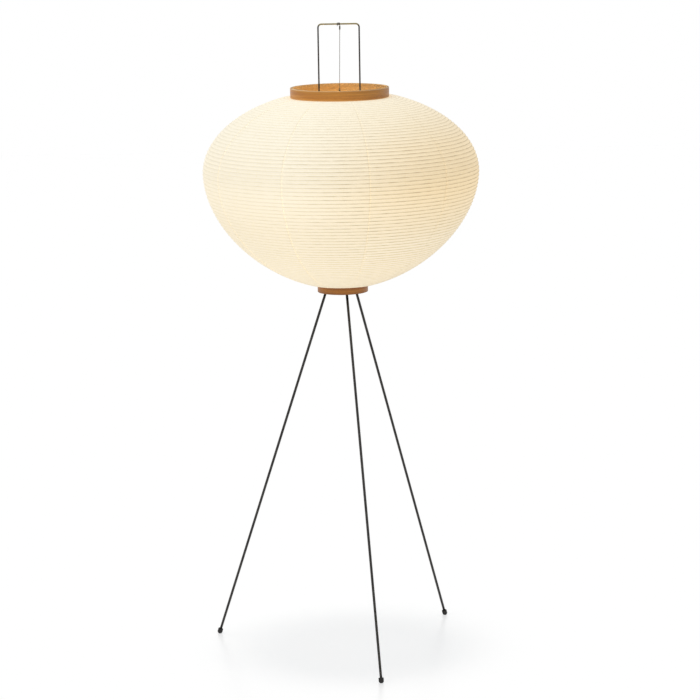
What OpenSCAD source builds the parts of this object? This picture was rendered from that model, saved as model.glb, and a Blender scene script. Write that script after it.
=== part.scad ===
// Paper lantern floor lamp: a ribbed paper shade on a wire tripod, lit by one bulb.
// Millimetres, +Z up. The origin is on the floor, on the lantern's own axis.
// The wire hairpin lies in the XZ plane, and the front of the lamp faces -Y.

/* [Paper shade] */
// Widest diameter of the shade, over its ribs
shade_d = 533; // [500:1:560]
// Height of the widest place above the floor
widest_z = 944.5; // [935:0.5:950]
// Rise of the upper curve's end over the top hoop's lower edge, where the hoop holds the paper flat
crown_over_h = 4.3; // [3:0.1:8]
// Fall of the lower curve's end under the bottom hoop's upper edge
bowl_under_h = 4.6; // [3:0.1:8]
// Power of the lower curve: 2 is an ellipse, 1 is a cone
bowl_power = 1.83; // [1.7:0.01:2]
// Pleats between the two hoops, with a bamboo rib in each fold but the first
pleat_count = 78; // [60:1:90]
// Depth that the paper falls in between two ribs
pleat_depth = 0.9; // [0.5:0.1:1.4]
// Thickness of the paper, kept a little over the real sheet's so that it is a sound solid
paper_t = 0.3; // [0.2:0.05:0.35]
// Width of a split bamboo rib, corner to corner
rib_d = 1.0; // [0.8:0.1:1.4]
// Paper strips around the shade
panel_count = 10; // [6:1:12]
// Direction of the first seam between two strips, in degrees from +X
first_seam = -79; // [-90:1:0]
// Height of the shade when it is folded flat
folded_h = 40; // [35:1:60]

/* [Wooden hoops] */
// Outer diameter of the top hoop
top_hoop_d = 190; // [170:1:200]
// Height of the top hoop's strip
top_hoop_h = 19; // [16:1:24]
// Height of the top hoop's lower edge above the floor
top_hoop_z = 1087.5; // [1085:0.5:1092]
// Outer diameter of the bottom hoop
bottom_hoop_d = 98; // [96:0.5:104]
// Height of the bottom hoop's strip
bottom_hoop_h = 15.6; // [14:0.2:17]
// Height of the bottom hoop's lower edge above the floor
bottom_hoop_z = 710.4; // [706:0.2:714]
// Thickness of the outer strip of each hoop
outer_strip_t = 2.2; // [1.8:0.1:2.4]
// Thickness of the inner strip of each hoop
inner_strip_t = 1.6; // [1.2:0.1:1.8]
// Slot between the two strips, which holds the edge of the paper
strip_gap = 0.9; // [0.7:0.1:1]
// Chamfer on the edges of the strips
strip_chamfer = 0.4; // [0.2:0.1:0.6]
// Width of the paper edge held in the top hoop
top_collar_h = 12; // [8:1:14]
// Width of the paper edge held in the bottom hoop
bottom_collar_h = 7; // [5:1:9]

/* [Hanger] */
// Diameter of the wire across the top hoop
crosswire_d = 2; // [1.6:0.1:2.4]
// Depth of the crosswire below the rim of the top hoop
crosswire_drop = 13; // [11:0.5:14]
// Distance of the crosswire behind the hairpin's plane
crosswire_back = 5; // [4.5:0.5:8]
// Diameter of the wire that hangs the shade
hanger_d = 1; // [0.8:0.1:1.4]
// Length of the hook's free end in front of the hairpin
hook_tip = 4; // [3:0.5:8]
// Length over which the wire is twisted back round itself, near each end
twist_h = 7; // [5:0.5:10]
// Diameter of that twist
twist_d = 2; // [1.8:0.1:2.4]
// Distance of the twists from the hook and from the eye
twist_start = 2.5; // [1:0.5:5]

/* [Hairpin] */
// Diameter of the hairpin's wire
hairpin_wire_d = 3; // [2.6:0.1:3.4]
// Distance of the middle of each of its two wires inside the bottom hoop's outer face
hairpin_inset = 9.7; // [9.2:0.1:11]
// Height of the middle of its crossbar above the wire across the top hoop
hairpin_rise = 133.5; // [120:0.5:150]
// Radius of its two corners, at the middle of the wire
hairpin_bend_r = 6.5; // [5:0.5:10]
// Width of the nuts that hold it, across the flats
hairpin_nut_w = 5.5; // [5.5:0.1:6]
// Height of those nuts
hairpin_nut_h = 2.4; // [2:0.1:2.6]

/* [Tripod] */
// Radius of the circle through the three feet
foot_circle_r = 272; // [250:1:300]
// Height at which the lines of the three legs meet
legs_meet_z = 810; // [800:1:840]
// Direction of the first leg, in degrees from +X
first_leg = -77; // [-90:1:-67]
// Diameter of a leg's rod
leg_d = 5; // [4.5:0.1:5.5]
// Diameter of the threaded end of a leg
leg_thread_d = 4; // [3:0.1:4.2]
// Length of that threaded end
leg_thread_l = 13; // [10:1:16]
// Diameter of a leg's socket
leg_socket_d = 9; // [8:0.1:10]
// Length of a leg's socket above the plate
leg_socket_l = 19; // [18:1:21]
// Length of the rod that the socket takes in below the thread
leg_seat_l = 5; // [4:0.5:6]
// Diameter of a rubber foot
foot_d = 10; // [9:0.5:12]
// Length of the foot's sleeve, up from the middle of its round end
foot_sleeve_l = 6; // [5:0.5:10]
// Height that the foot's round end is worn flat on the floor
foot_flat = 0.8; // [0.4:0.1:1.2]

/* [Hub plate] */
// Thickness of the plate
plate_t = 2.5; // [2:0.1:3]
// Height of the plate above the lower edge of the bottom hoop
plate_up = 5; // [4.6:0.1:5.5]
// Inner radius of the three curved vents
vent_in_r = 21; // [20:0.5:22]
// Width of a vent
vent_w = 8; // [6:0.5:9]
// Angle that each vent runs through
vent_angle = 60; // [40:1:66]

/* [Lamp holder] */
// Diameter of the threaded tube that carries the holder
nipple_d = 10; // [9.5:0.1:10.5]
// Diameter of the cord's way through that tube
nipple_bore_d = 7; // [6.4:0.1:7.4]
// Height of the holder above the plate
nipple_rise = 20; // [16:1:24]
// Width of the tube's nuts, across the flats
nipple_nut_w = 14; // [13.5:0.1:15]
// Height of the tube's nuts
nipple_nut_h = 3; // [2.5:0.1:3.2]
// Length of the tube's end below its lowest nut
nipple_end_l = 4; // [3:0.5:6]
// Diameter of the cord that the gland is made for
cord_d = 6; // [5.5:0.1:6]
// Diameter of the cord gland
gland_d = 15; // [14:0.5:18]
// Thickness of the gland's lip round the cord
gland_lip = 2.5; // [2:0.1:2.8]
// Diameter of the holder
holder_d = 36; // [35:0.5:37]
// Height of the holder
holder_h = 48; // [46:1:52]
// Height of the holder's lower cap
holder_cap_h = 15; // [13:1:17]
// Wall of the holder
holder_wall = 1.8; // [1.5:0.1:2]
// Thickness of the insulator that carries the contacts
insulator_h = 6; // [5:0.5:7]
// Width of each of the two feet that the insulator stands on
insulator_foot_w = 8; // [6:0.5:10]
// Thickness of those feet
insulator_foot_t = 3; // [2.5:0.5:4]
// Diameter of the two holes that the wires come up through
insulator_hole_d = 2.5; // [2:0.1:3]
// Inner diameter of the brass screw shell
screw_shell_d = 27; // [26.9:0.1:27.4]
// Wall of the screw shell
screw_shell_wall = 0.5; // [0.4:0.1:0.7]
// Depth of the screw shell
screw_shell_h = 29; // [28:0.5:31]
// Width of the spring tongue that meets the bulb
tongue_w = 5; // [4:0.5:6]
// Length of that tongue
tongue_l = 10; // [8:0.5:12]
// Thickness of that tongue
tongue_t = 0.5; // [0.4:0.1:0.8]

/* [Bulb] */
// Diameter of the bulb
bulb_d = 60; // [55:1:65]
// Height of the middle of its round part above the holder's rim
bulb_up = 53; // [50:1:56]
// Height of the straight neck of the bulb
bulb_neck_h = 8; // [6:0.5:10]
// Angle of the round part that the neck's cone leaves out
bulb_cone_angle = 18; // [14:1:24]
// Wall of the glass
glass_t = 1; // [0.8:0.1:1.2]
// Diameter of the bulb's screw cap
bulb_cap_d = 26.3; // [26:0.1:26.3]
// Height of the screw cap
bulb_cap_h = 23; // [22:0.5:24]
// Height of the contact under the screw cap
bulb_contact_h = 2; // [1.5:0.1:2.5]

/* [Clearances] */
// Play between pieces that move past each other
running_gap = 0.3; // [0.2:0.05:0.4]
// Play between pieces that are fixed together
fixed_gap = 0.1; // [0.05:0.01:0.15]

/* [Hidden] */
$fn = 96;
// Heights
plate_z = bottom_hoop_z + plate_up;
plate_top = plate_z + plate_t;
hoop_seat_z = plate_top + running_gap;
bottom_hoop_top = bottom_hoop_z + bottom_hoop_h;
top_hoop_top = top_hoop_z + top_hoop_h;
crosswire_z = top_hoop_top - crosswire_drop;
hairpin_top_z = crosswire_z + hairpin_rise;
holder_z = plate_top + nipple_rise;
holder_rim_z = holder_z + holder_h;
insulator_z = holder_rim_z - screw_shell_h - insulator_h;
bulb_base_z = holder_rim_z + running_gap;
bulb_cap_z = bulb_base_z - bulb_cap_h;
bulb_contact_z = bulb_cap_z - bulb_contact_h;
bulb_mid_z = bulb_base_z + bulb_up;
// Hoops: inner radius of the outer strip, and both radii of the inner strip
function strip_in(hoop_d) = hoop_d/2 - outer_strip_t;
function inner_strip_out(hoop_d) = strip_in(hoop_d) - strip_gap;
function inner_strip_in(hoop_d) = inner_strip_out(hoop_d) - inner_strip_t;
function collar_r(hoop_d) = strip_in(hoop_d) - strip_gap/2;
// Shade: a quarter ellipse above the widest place and a superellipse below it, by angle
shade_r = shade_d/2;
paper_top_z = top_hoop_z - fixed_gap;
paper_low_z = bottom_hoop_top + running_gap;
function shade_z(a) = a >= 0 ? widest_z + crown_h*sin(a) : widest_z - bowl_h*pow(sin(-a), 2/bowl_power);
function shade_point(a) =
    [shade_r*(a >= 0 ? cos(a) : pow(cos(a), 2/bowl_power)), min(paper_top_z, max(paper_low_z, shade_z(a)))];
paper_first_r = collar_r(top_hoop_d) + paper_t/2;
paper_last_r = collar_r(bottom_hoop_d) + paper_t/2;
top_angle = acos(paper_first_r/shade_r);
low_angle = -acos(pow(paper_last_r/shade_r, bowl_power/2));
// Heights from the widest place to the poles of both curves, so that they always end at the hoops
crown_h = (paper_top_z + crown_over_h - widest_z)/sin(top_angle);
bowl_h = (widest_z - paper_low_z + bowl_under_h)/pow(sin(-low_angle), 2/bowl_power);
// Length along the shade from the top hoop, against angle, for even steps between ribs
angle_steps = 160;
function step_angle(i) = top_angle + (low_angle - top_angle)*i/angle_steps;
function step_length(i) = norm(shade_point(step_angle(i)) - shade_point(step_angle(i - 1)));
angle_by_length = [for (i = 0, run = 0; i <= angle_steps; i = i + 1, run = run + step_length(i)) [run, step_angle(i)]];
shade_length = angle_by_length[angle_steps][0];
half_pitch = shade_length/pleat_count/2;
// Point k is on a rib's fold where k is even, and between two ribs where it is odd
function fold_angle(k) = lookup(min(shade_length, k*half_pitch), angle_by_length);
function fold_on_curve(k) = shade_point(fold_angle(k));
function fold_run(k) = fold_on_curve(min(2*pleat_count, k + 1)) - fold_on_curve(max(0, k - 1));
function fold_out(k) = let (run = fold_run(k)) [-run[1], run[0]]/norm(run);
function fold_point(k, inset) = fold_on_curve(k) - fold_out(k)*(inset + (k % 2)*pleat_depth);
rib_inset = paper_t + rib_d/2 + fixed_gap;
panel_angle = 360/panel_count;
fold_travel = paper_top_z - paper_low_z - folded_h;
lift_travel = hairpin_top_z - bottom_hoop_z + folded_h;
// Legs
foot_r = foot_d/2;
foot_mid_z = foot_r - foot_flat;
leg_splay = atan(foot_circle_r/(legs_meet_z - foot_mid_z));
leg_low = (legs_meet_z - foot_mid_z)/cos(leg_splay);
leg_seat = (legs_meet_z - plate_top)/cos(leg_splay) - leg_seat_l;
leg_hole_d = leg_d + 2*running_gap;
leg_travel = leg_thread_l + leg_seat_l;
// Hook and hairpin
hook_r = hairpin_wire_d/2 + running_gap + hanger_d/2;
eye_r = crosswire_d/2 + fixed_gap + hanger_d/2;
hairpin_side = bottom_hoop_d/2 - hairpin_inset;
hairpin_low_z = plate_z - hairpin_nut_h - fixed_gap;
gland_top_z = plate_z - nipple_nut_h - fixed_gap;
nipple_low_z = plate_z - nipple_nut_h - nipple_end_l;
gland_z = nipple_low_z - fixed_gap - gland_lip;
bulb_cap_r = bulb_cap_d/2;
bulb_neck_r = bulb_cap_r + glass_t;

PANELS = [for (i = [1:panel_count]) str("paper_panel_", i)];
LEG_NODES = [for (i = [1:3]) each [str("leg_socket_", i), str("leg_", i), str("leg_foot_", i)]];

// A round rod between two points
module rod(from, to, d) {
    run = to - from;
    translate(from)
        rotate([0, acos(run[2]/norm(run)), atan2(run[1], run[0])])
            cylinder(h = norm(run), d = d);
}

module ring(out_r, in_r, h) {
    difference() {
        cylinder(h = h, r = out_r);
        translate([0, 0, -1]) cylinder(h = h + 2, r = in_r);
    }
}

module hex_nut(across, h, hole_d) {
    difference() {
        cylinder(h = h, d = across/cos(30), $fn = 6);
        translate([0, 0, -1]) cylinder(h = h + 2, d = hole_d);
    }
}

// A wooden strip bent to a hoop, with its four edges chamfered
module strip(out_r, in_r, low_z, high_z) {
    c = strip_chamfer;
    rotate_extrude()
        polygon([[in_r + c, low_z], [out_r - c, low_z], [out_r, low_z + c], [out_r, high_z - c],
            [out_r - c, high_z], [in_r + c, high_z], [in_r, high_z - c], [in_r, low_z + c]]);
}

// Puts a piece on the line of leg i, with its own +Z down along the leg from where the legs meet
module on_leg(i) {
    rotate([0, 0, first_leg + 120*(i - 1)])
        translate([0, 0, legs_meet_z])
            rotate([0, 180 - leg_splay, 0])
                children();
}

module at_hairpin_sides() {
    for (side = [-1, 1])
        translate([side*hairpin_side, 0, 0]) children();
}

// Steel plate inside the bottom hoop, which everything on the stand is fixed to
module hub_plate() {
    color("#3a3a3c") difference() {
        translate([0, 0, plate_z])
            cylinder(h = plate_t, r = strip_in(bottom_hoop_d) - 2*running_gap);
        translate([0, 0, plate_z - 1]) cylinder(h = plate_t + 2, d = nipple_d + 2*fixed_gap);
        at_hairpin_sides()
            translate([0, 0, plate_z - 1]) cylinder(h = plate_t + 2, d = hairpin_wire_d + 2*fixed_gap);
        for (i = [1:3]) {
            on_leg(i) cylinder(h = leg_low/2, d = leg_hole_d);
            rotate([0, 0, first_leg + 60 + 120*(i - 1) - vent_angle/2])
                rotate_extrude(angle = vent_angle)
                    translate([vent_in_r, plate_z - 1]) square([vent_w, plate_t + 2]);
        }
    }
}

// Sleeve welded on the plate. It takes the leg's thread, and the rod's shoulder seats inside it
module leg_socket(i) {
    socket_top = leg_seat + leg_seat_l - leg_socket_l;
    color("#4a4a4d") difference() {
        on_leg(i)
            translate([0, 0, socket_top]) cylinder(h = leg_socket_l + leg_socket_d, d = leg_socket_d);
        on_leg(i) {
            translate([0, 0, socket_top - 1])
                cylinder(h = 2*leg_socket_l, d = leg_thread_d + 2*fixed_gap);
            translate([0, 0, leg_seat])
                cylinder(h = 2*leg_socket_l, d = leg_hole_d);
        }
        translate([0, 0, plate_top - 2*leg_socket_l]) cylinder(h = 2*leg_socket_l, r = foot_circle_r);
    }
}

// Steel rod with a thinner threaded end
module leg(i) {
    color("#3a3a3c") on_leg(i) {
        translate([0, 0, leg_seat + fixed_gap]) cylinder(h = leg_low - leg_seat - fixed_gap, d = leg_d);
        translate([0, 0, leg_seat - leg_thread_l + fixed_gap])
            cylinder(h = leg_thread_l + leg_seat_l, d = leg_thread_d);
    }
}

// Rubber foot pushed over the rod's end, rounded below and flat where it stands
module leg_foot(i) {
    color("#1c1c1d") difference() {
        on_leg(i) {
            translate([0, 0, leg_low - foot_sleeve_l]) cylinder(h = foot_sleeve_l, d = foot_d);
            translate([0, 0, leg_low]) sphere(d = foot_d);
        }
        on_leg(i)
            translate([0, 0, leg_low - 2*foot_sleeve_l])
                cylinder(h = 2*foot_sleeve_l, d = leg_d + 2*fixed_gap);
        translate([0, 0, -foot_d]) cylinder(h = foot_d, r = 2*foot_circle_r);
    }
}

// The wire that stands on the plate and hangs the shade: two sides, two bends and a crossbar
module wire_hairpin() {
    side_h = hairpin_top_z - hairpin_bend_r - hairpin_low_z;
    bar_l = 2*(hairpin_side - hairpin_bend_r);
    color("#3a3a3c") {
        at_hairpin_sides()
            translate([0, 0, hairpin_low_z]) cylinder(h = side_h, d = hairpin_wire_d);
        translate([-bar_l/2, 0, hairpin_top_z])
            rotate([0, 90, 0]) cylinder(h = bar_l, d = hairpin_wire_d);
        for (side = [0, 1])
            mirror([side, 0, 0])
                translate([bar_l/2, 0, hairpin_top_z - hairpin_bend_r])
                    rotate([90, 0, 0])
                        rotate_extrude(angle = 90)
                            translate([hairpin_bend_r, 0]) circle(d = hairpin_wire_d);
    }
}

module hairpin_nuts() {
    color("#8c8c90") at_hairpin_sides()
        for (z = [plate_z - hairpin_nut_h, plate_top])
            translate([0, 0, z]) hex_nut(hairpin_nut_w, hairpin_nut_h, hairpin_wire_d + 2*fixed_gap);
}

// Threaded tube through the plate, which carries the lamp holder and leads the cord up
module holder_nipple() {
    top_z = holder_z + holder_wall;
    color("#a8a8ab") translate([0, 0, nipple_low_z])
        ring(nipple_d/2, nipple_bore_d/2, top_z - nipple_low_z);
}

module nipple_nuts() {
    color("#8c8c90") for (z = [plate_z - nipple_nut_h, plate_top, holder_z - nipple_nut_h])
        translate([0, 0, z]) hex_nut(nipple_nut_w, nipple_nut_h, nipple_d + 2*fixed_gap);
}

// Plastic bush on the tube's lower end, with the hole that the cord enters by
module cord_gland() {
    color("#1c1c1d") difference() {
        translate([0, 0, gland_z]) cylinder(h = gland_top_z - gland_z, d = gland_d);
        translate([0, 0, nipple_low_z - fixed_gap])
            cylinder(h = gland_top_z - gland_z, d = nipple_d + 2*fixed_gap);
        translate([0, 0, gland_z - 1]) cylinder(h = gland_top_z - gland_z, d = cord_d + 2*fixed_gap);
    }
}

// Lower cup of the lamp holder, screwed on the tube
module holder_cap() {
    color("#222224") difference() {
        translate([0, 0, holder_z]) cylinder(h = holder_cap_h, d = holder_d);
        translate([0, 0, holder_z + holder_wall]) cylinder(h = holder_cap_h, d = holder_d - 2*holder_wall);
        translate([0, 0, holder_z - 1]) cylinder(h = holder_wall + 2, d = nipple_d + 2*fixed_gap);
    }
}

// Upper sleeve of the lamp holder, with a rim that turns in to keep the insulator and shell in place
module holder_shell() {
    low_z = holder_z + holder_cap_h;
    screw_out_r = screw_shell_d/2 + screw_shell_wall;
    color("#222224") difference() {
        translate([0, 0, low_z]) cylinder(h = holder_rim_z - low_z, d = holder_d);
        translate([0, 0, low_z - 1])
            cylinder(h = holder_rim_z - low_z + 1 - holder_wall, d = holder_d - 2*holder_wall);
        translate([0, 0, low_z]) cylinder(h = holder_h, r = screw_out_r + fixed_gap);
    }
}

// Ceramic disc that carries the screw shell and the contact, on a foot that stands on the cap's floor
module holder_insulator() {
    foot_in_r = nipple_d/2 + 1;
    color("#e8e4da") difference() {
        union() {
            translate([0, 0, insulator_z])
                cylinder(h = insulator_h, r = holder_d/2 - holder_wall - fixed_gap);
            for (side = [0, 180])
                rotate([0, 0, side])
                    translate([foot_in_r, -insulator_foot_w/2, holder_z + holder_wall])
                        cube([insulator_foot_t, insulator_foot_w, insulator_z - holder_z]);
        }
        for (side = [0, 180])
            rotate([0, 0, side])
                translate([0, foot_in_r + insulator_hole_d, insulator_z - 1])
                    cylinder(h = insulator_h + 2, d = insulator_hole_d);
    }
}

// Brass sleeve with the thread that takes the bulb
module screw_shell() {
    color("#c9a75a") translate([0, 0, holder_rim_z - screw_shell_h])
        ring(screw_shell_d/2 + screw_shell_wall, screw_shell_d/2, screw_shell_h - fixed_gap);
}

// Spring tongue in the middle of the holder, bent up to meet the bulb
module centre_contact() {
    tongue_z = insulator_z + insulator_h;
    rise = bulb_contact_z - running_gap - tongue_z;
    color("#c9a75a") translate([-tongue_w/2, -tongue_l/2, tongue_z]) {
        cube([tongue_w, tongue_l, tongue_t]);
        translate([0, tongue_l - tongue_t, 0]) cube([tongue_w, tongue_t, rise]);
        translate([0, tongue_l/4, rise - tongue_t]) cube([tongue_w, 3*tongue_l/4, tongue_t]);
    }
}

module bulb_outline(inset) {
    mid_r = bulb_d/2 - inset;
    neck_r = bulb_neck_r - inset;
    meet = asin(neck_r/mid_r) + bulb_cone_angle;
    intersection() {
        union() {
            translate([0, bulb_mid_z]) circle(r = mid_r);
            polygon([[0, bulb_base_z], [neck_r, bulb_base_z], [neck_r, bulb_base_z + bulb_neck_h],
                [mid_r*sin(meet), bulb_mid_z - mid_r*cos(meet)], [0, bulb_mid_z]]);
        }
        translate([0, bulb_base_z]) square([bulb_d, 2*bulb_d]);
    }
}

module bulb_glass() {
    color("#fff3da") rotate_extrude() difference() {
        bulb_outline(0);
        bulb_outline(glass_t);
    }
}

// Threaded metal cap of the bulb, closed at its foot by the black insulator
module bulb_cap() {
    color("#b8b8bb") difference() {
        translate([0, 0, bulb_cap_z]) cylinder(h = bulb_cap_h, r = bulb_cap_r);
        translate([0, 0, bulb_cap_z + glass_t]) cylinder(h = bulb_cap_h, r = bulb_cap_r - glass_t/2);
    }
}

module bulb_contact() {
    color("#c0a060") translate([0, 0, bulb_contact_z]) cylinder(h = bulb_contact_h, d = tongue_l/2);
}

module hoop_outer(hoop_d, low_z, hoop_h) {
    color("#b9854a") strip(hoop_d/2, strip_in(hoop_d), low_z, low_z + hoop_h);
}

module top_hoop_outer() hoop_outer(top_hoop_d, top_hoop_z, top_hoop_h);

module bottom_hoop_outer() hoop_outer(bottom_hoop_d, bottom_hoop_z, bottom_hoop_h);

// Inner strip of the top hoop, drilled at both sides for the crosswire
module top_hoop_inner() {
    color("#c99a60") difference() {
        strip(inner_strip_out(top_hoop_d), inner_strip_in(top_hoop_d), top_hoop_z, top_hoop_top);
        translate([-top_hoop_d/2, crosswire_back, crosswire_z])
            rotate([0, 90, 0]) cylinder(h = top_hoop_d, d = crosswire_d + 2*fixed_gap);
    }
}

// Inner strip of the bottom hoop, which stands on the edge of the plate
module bottom_hoop_inner() {
    color("#c99a60")
        strip(inner_strip_out(bottom_hoop_d), inner_strip_in(bottom_hoop_d), hoop_seat_z, bottom_hoop_top);
}

// Wire across the top hoop, with its ends in the inner strip
module ring_crosswire() {
    out_r = inner_strip_out(top_hoop_d) - fixed_gap;
    edge = crosswire_back + crosswire_d/2;
    half_l = sqrt(out_r*out_r - edge*edge);
    color("#3a3a3c") translate([-half_l, crosswire_back, crosswire_z])
        rotate([0, 90, 0]) cylinder(h = 2*half_l, d = crosswire_d);
}

// Wire with a hook over the hairpin's crossbar and an eye round the crosswire
module hanger_wire() {
    hook_back = [0, hook_r, hairpin_top_z];
    eye_front = [0, crosswire_back - eye_r, crosswire_z];
    run = (hook_back - eye_front)/norm(hook_back - eye_front);
    color("#3a3a3c") {
        translate([0, 0, hairpin_top_z]) rotate([0, 0, 90]) rotate([90, 0, 0])
            rotate_extrude(angle = 180) translate([hook_r, 0]) circle(d = hanger_d);
        translate([0, -hook_r, hairpin_top_z - hook_tip]) cylinder(h = hook_tip, d = hanger_d);
        rod(eye_front, hook_back, hanger_d);
        for (end = [eye_front + twist_start*run, hook_back - (twist_start + twist_h)*run])
            rod(end, end + twist_h*run, twist_d);
        translate([0, crosswire_back, crosswire_z]) rotate([0, 90, 0])
            rotate_extrude() translate([eye_r, 0]) circle(d = hanger_d);
    }
}

// Bamboo ribs, each a closed ring in a fold of the paper. The split strip is about square, and its
// corner points into the fold
module bamboo_ribs() {
    color("#d8b98a") for (k = [1:pleat_count - 1])
        let (out = fold_out(2*k))
            rotate_extrude()
                translate(fold_point(2*k, rib_inset))
                    rotate(atan2(out[1], out[0])) circle(d = rib_d, $fn = 4);
}

// One strip of the shade's paper: an edge in the top hoop, the pleats, and an edge in the bottom hoop
module paper_panel(i) {
    last = 2*pleat_count;
    top_in = collar_r(top_hoop_d) - paper_t/2;
    low_in = collar_r(bottom_hoop_d) - paper_t/2;
    outside = [for (k = [0:last]) fold_point(k, 0)];
    inside = [for (k = [last - 1:-1:1]) fold_point(k, paper_t)];
    color("#f7ecd3") rotate([0, 0, first_seam + panel_angle*(i - 1)])
        rotate_extrude(angle = panel_angle)
            polygon(concat([[paper_first_r, top_hoop_z + top_collar_h]], outside,
                [[paper_last_r, bottom_hoop_top - bottom_collar_h], [low_in, bottom_hoop_top - bottom_collar_h],
                 [low_in, paper_low_z + paper_t]], inside,
                [[top_in, paper_top_z - paper_t], [top_in, top_hoop_z + top_collar_h]]));
}

hub_plate();
wire_hairpin();
hairpin_nuts();
holder_nipple();
nipple_nuts();
cord_gland();
holder_cap();
holder_shell();
holder_insulator();
screw_shell();
centre_contact();
bulb_glass();
bulb_cap();
bulb_contact();
top_hoop_outer();
top_hoop_inner();
bottom_hoop_outer();
bottom_hoop_inner();
ring_crosswire();
hanger_wire();
bamboo_ribs();
for (i = [1:3]) {
    leg_socket(i);
    leg(i);
    leg_foot(i);
}
for (i = [1:panel_count])
    paper_panel(i);
echo(shade_length = shade_length, rib_spacing = 2*half_pitch, leg_splay = leg_splay);
echo(fold_travel = fold_travel, lift_travel = lift_travel, leg_travel = leg_travel);
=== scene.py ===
# %% [markdown]
# # A paper lantern on three slim legs
#
# A ribbed paper lantern hangs from a wire hairpin over a tripod of thin steel rods, and a bulb lights it
# from inside. The frame that is loaded here already holds every piece of the lamp at its real size and in
# its place, in metres, with +Z up. This lesson keeps those places and gives each piece the shape and the
# finish that the eye expects. Every cell prints what it made, so it can be followed one step at a time.

# %% Load the frame
import math

import bpy
from mathutils import Matrix, Vector


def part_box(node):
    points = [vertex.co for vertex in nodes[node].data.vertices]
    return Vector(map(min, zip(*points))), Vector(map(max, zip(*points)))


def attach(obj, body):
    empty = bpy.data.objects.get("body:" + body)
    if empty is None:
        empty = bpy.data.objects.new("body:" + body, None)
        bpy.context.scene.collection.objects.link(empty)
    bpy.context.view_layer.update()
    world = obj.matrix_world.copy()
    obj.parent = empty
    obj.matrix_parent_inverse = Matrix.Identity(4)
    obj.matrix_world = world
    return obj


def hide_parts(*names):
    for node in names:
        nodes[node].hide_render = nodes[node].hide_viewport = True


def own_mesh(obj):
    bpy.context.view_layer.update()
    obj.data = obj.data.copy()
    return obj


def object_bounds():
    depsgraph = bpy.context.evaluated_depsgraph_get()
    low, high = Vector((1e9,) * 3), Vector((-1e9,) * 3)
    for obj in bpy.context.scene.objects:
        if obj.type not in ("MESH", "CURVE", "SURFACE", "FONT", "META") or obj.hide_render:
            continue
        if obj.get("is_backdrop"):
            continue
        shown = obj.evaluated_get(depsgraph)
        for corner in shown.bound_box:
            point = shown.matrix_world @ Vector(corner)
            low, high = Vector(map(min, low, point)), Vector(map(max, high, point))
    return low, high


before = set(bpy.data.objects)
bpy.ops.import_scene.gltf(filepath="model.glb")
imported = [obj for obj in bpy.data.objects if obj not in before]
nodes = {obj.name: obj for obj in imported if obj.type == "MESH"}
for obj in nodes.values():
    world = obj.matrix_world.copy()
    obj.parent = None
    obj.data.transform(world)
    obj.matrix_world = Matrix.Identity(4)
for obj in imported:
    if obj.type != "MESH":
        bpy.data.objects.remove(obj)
cad_bounds = [list(corner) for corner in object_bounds()]
print("the frame has", len(nodes), "nodes, from", cad_bounds[0], "to", cad_bounds[1])

# %% [markdown]
# ## The camera
#
# The feet, the hoops and the top of the hairpin fix where the photographer stood: about five metres away,
# a little above the lantern, with a long lens that looks slightly down. The picture is also turned by
# less than a degree, so the camera gets that roll. A long lens keeps the ellipses of the hoops flat. The
# Standard view shows each colour as it is written, without a film look over it.

# %% Place the camera
CAMERA_PLACE = Vector((0.012, -5.0506, 1.5375))
CAMERA_DOWN = math.radians(10.588)
CAMERA_ROLL = -0.0161
FRAME_PIXELS = 700
FOCAL_PIXELS = 2630.2

camera_data = bpy.data.cameras.new("photo_camera")
camera_data.sensor_width = 36.0
camera_data.lens = FOCAL_PIXELS * camera_data.sensor_width / FRAME_PIXELS
camera = bpy.data.objects.new("photo_camera", camera_data)
bpy.context.scene.collection.objects.link(camera)
look = Matrix.Rotation(math.pi / 2 - CAMERA_DOWN, 4, "X") @ Matrix.Rotation(CAMERA_ROLL, 4, "Z")
camera.matrix_world = Matrix.Translation(CAMERA_PLACE) @ look
bpy.context.scene.camera = camera
bpy.context.scene.view_settings.view_transform = "Standard"
print("lens", round(camera_data.lens, 1), "mm")

# %% [markdown]
# ## Two helpers for node trees
#
# Shaders and Geometry Nodes are both trees of nodes. One function adds a node and sets its options. For each
# socket it takes a value, another node's socket, or another node, which then stands for its first output.
# That keeps each tree below as short as a recipe. Colours are written the way a picture editor shows them,
# and a second function turns them into the linear values that a renderer needs. Most sums in a tree are done
# by one kind of node, the maths node, so its long name is written down once, as M.

# %% Helpers for trees and colours
M = "ShaderNodeMath"


def add(tree, kind, sockets=(), **settings):
    made = tree.nodes.new(kind)
    for name, value in settings.items():
        setattr(made, name, value)
    for name, value in dict(sockets).items():
        if isinstance(value, bpy.types.Node):
            value = value.outputs[0]
        if isinstance(value, bpy.types.NodeSocket):
            tree.links.new(value, made.inputs[name])
        else:
            made.inputs[name].default_value = value
    return made


def linear(hex_colour):
    parts = [int(hex_colour[i : i + 2], 16) / 255 for i in (1, 3, 5)]
    return [p / 12.92 if p <= 0.04045 else ((p + 0.055) / 1.055) ** 2.4 for p in parts] + [1.0]


def new_material(name):
    material = bpy.data.materials.new(name)
    material.use_nodes = True
    tree = material.node_tree
    return material, tree, tree.nodes["Principled BSDF"]


print("paper white is", [round(c, 3) for c in linear("#fbf3df")])

# %% [markdown]
# ## Sizes
#
# The hoops, the holder and the bulb are read off the frame's own boxes, so that nothing here can drift away
# from the solids. The paper's outline follows a rule: a quarter ellipse above the widest place, and a more
# pointed superellipse below it, cut off by the two hoops. Seventy-eight pleats of equal length run
# down that outline, and a bamboo rib lies in each fold.

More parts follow.
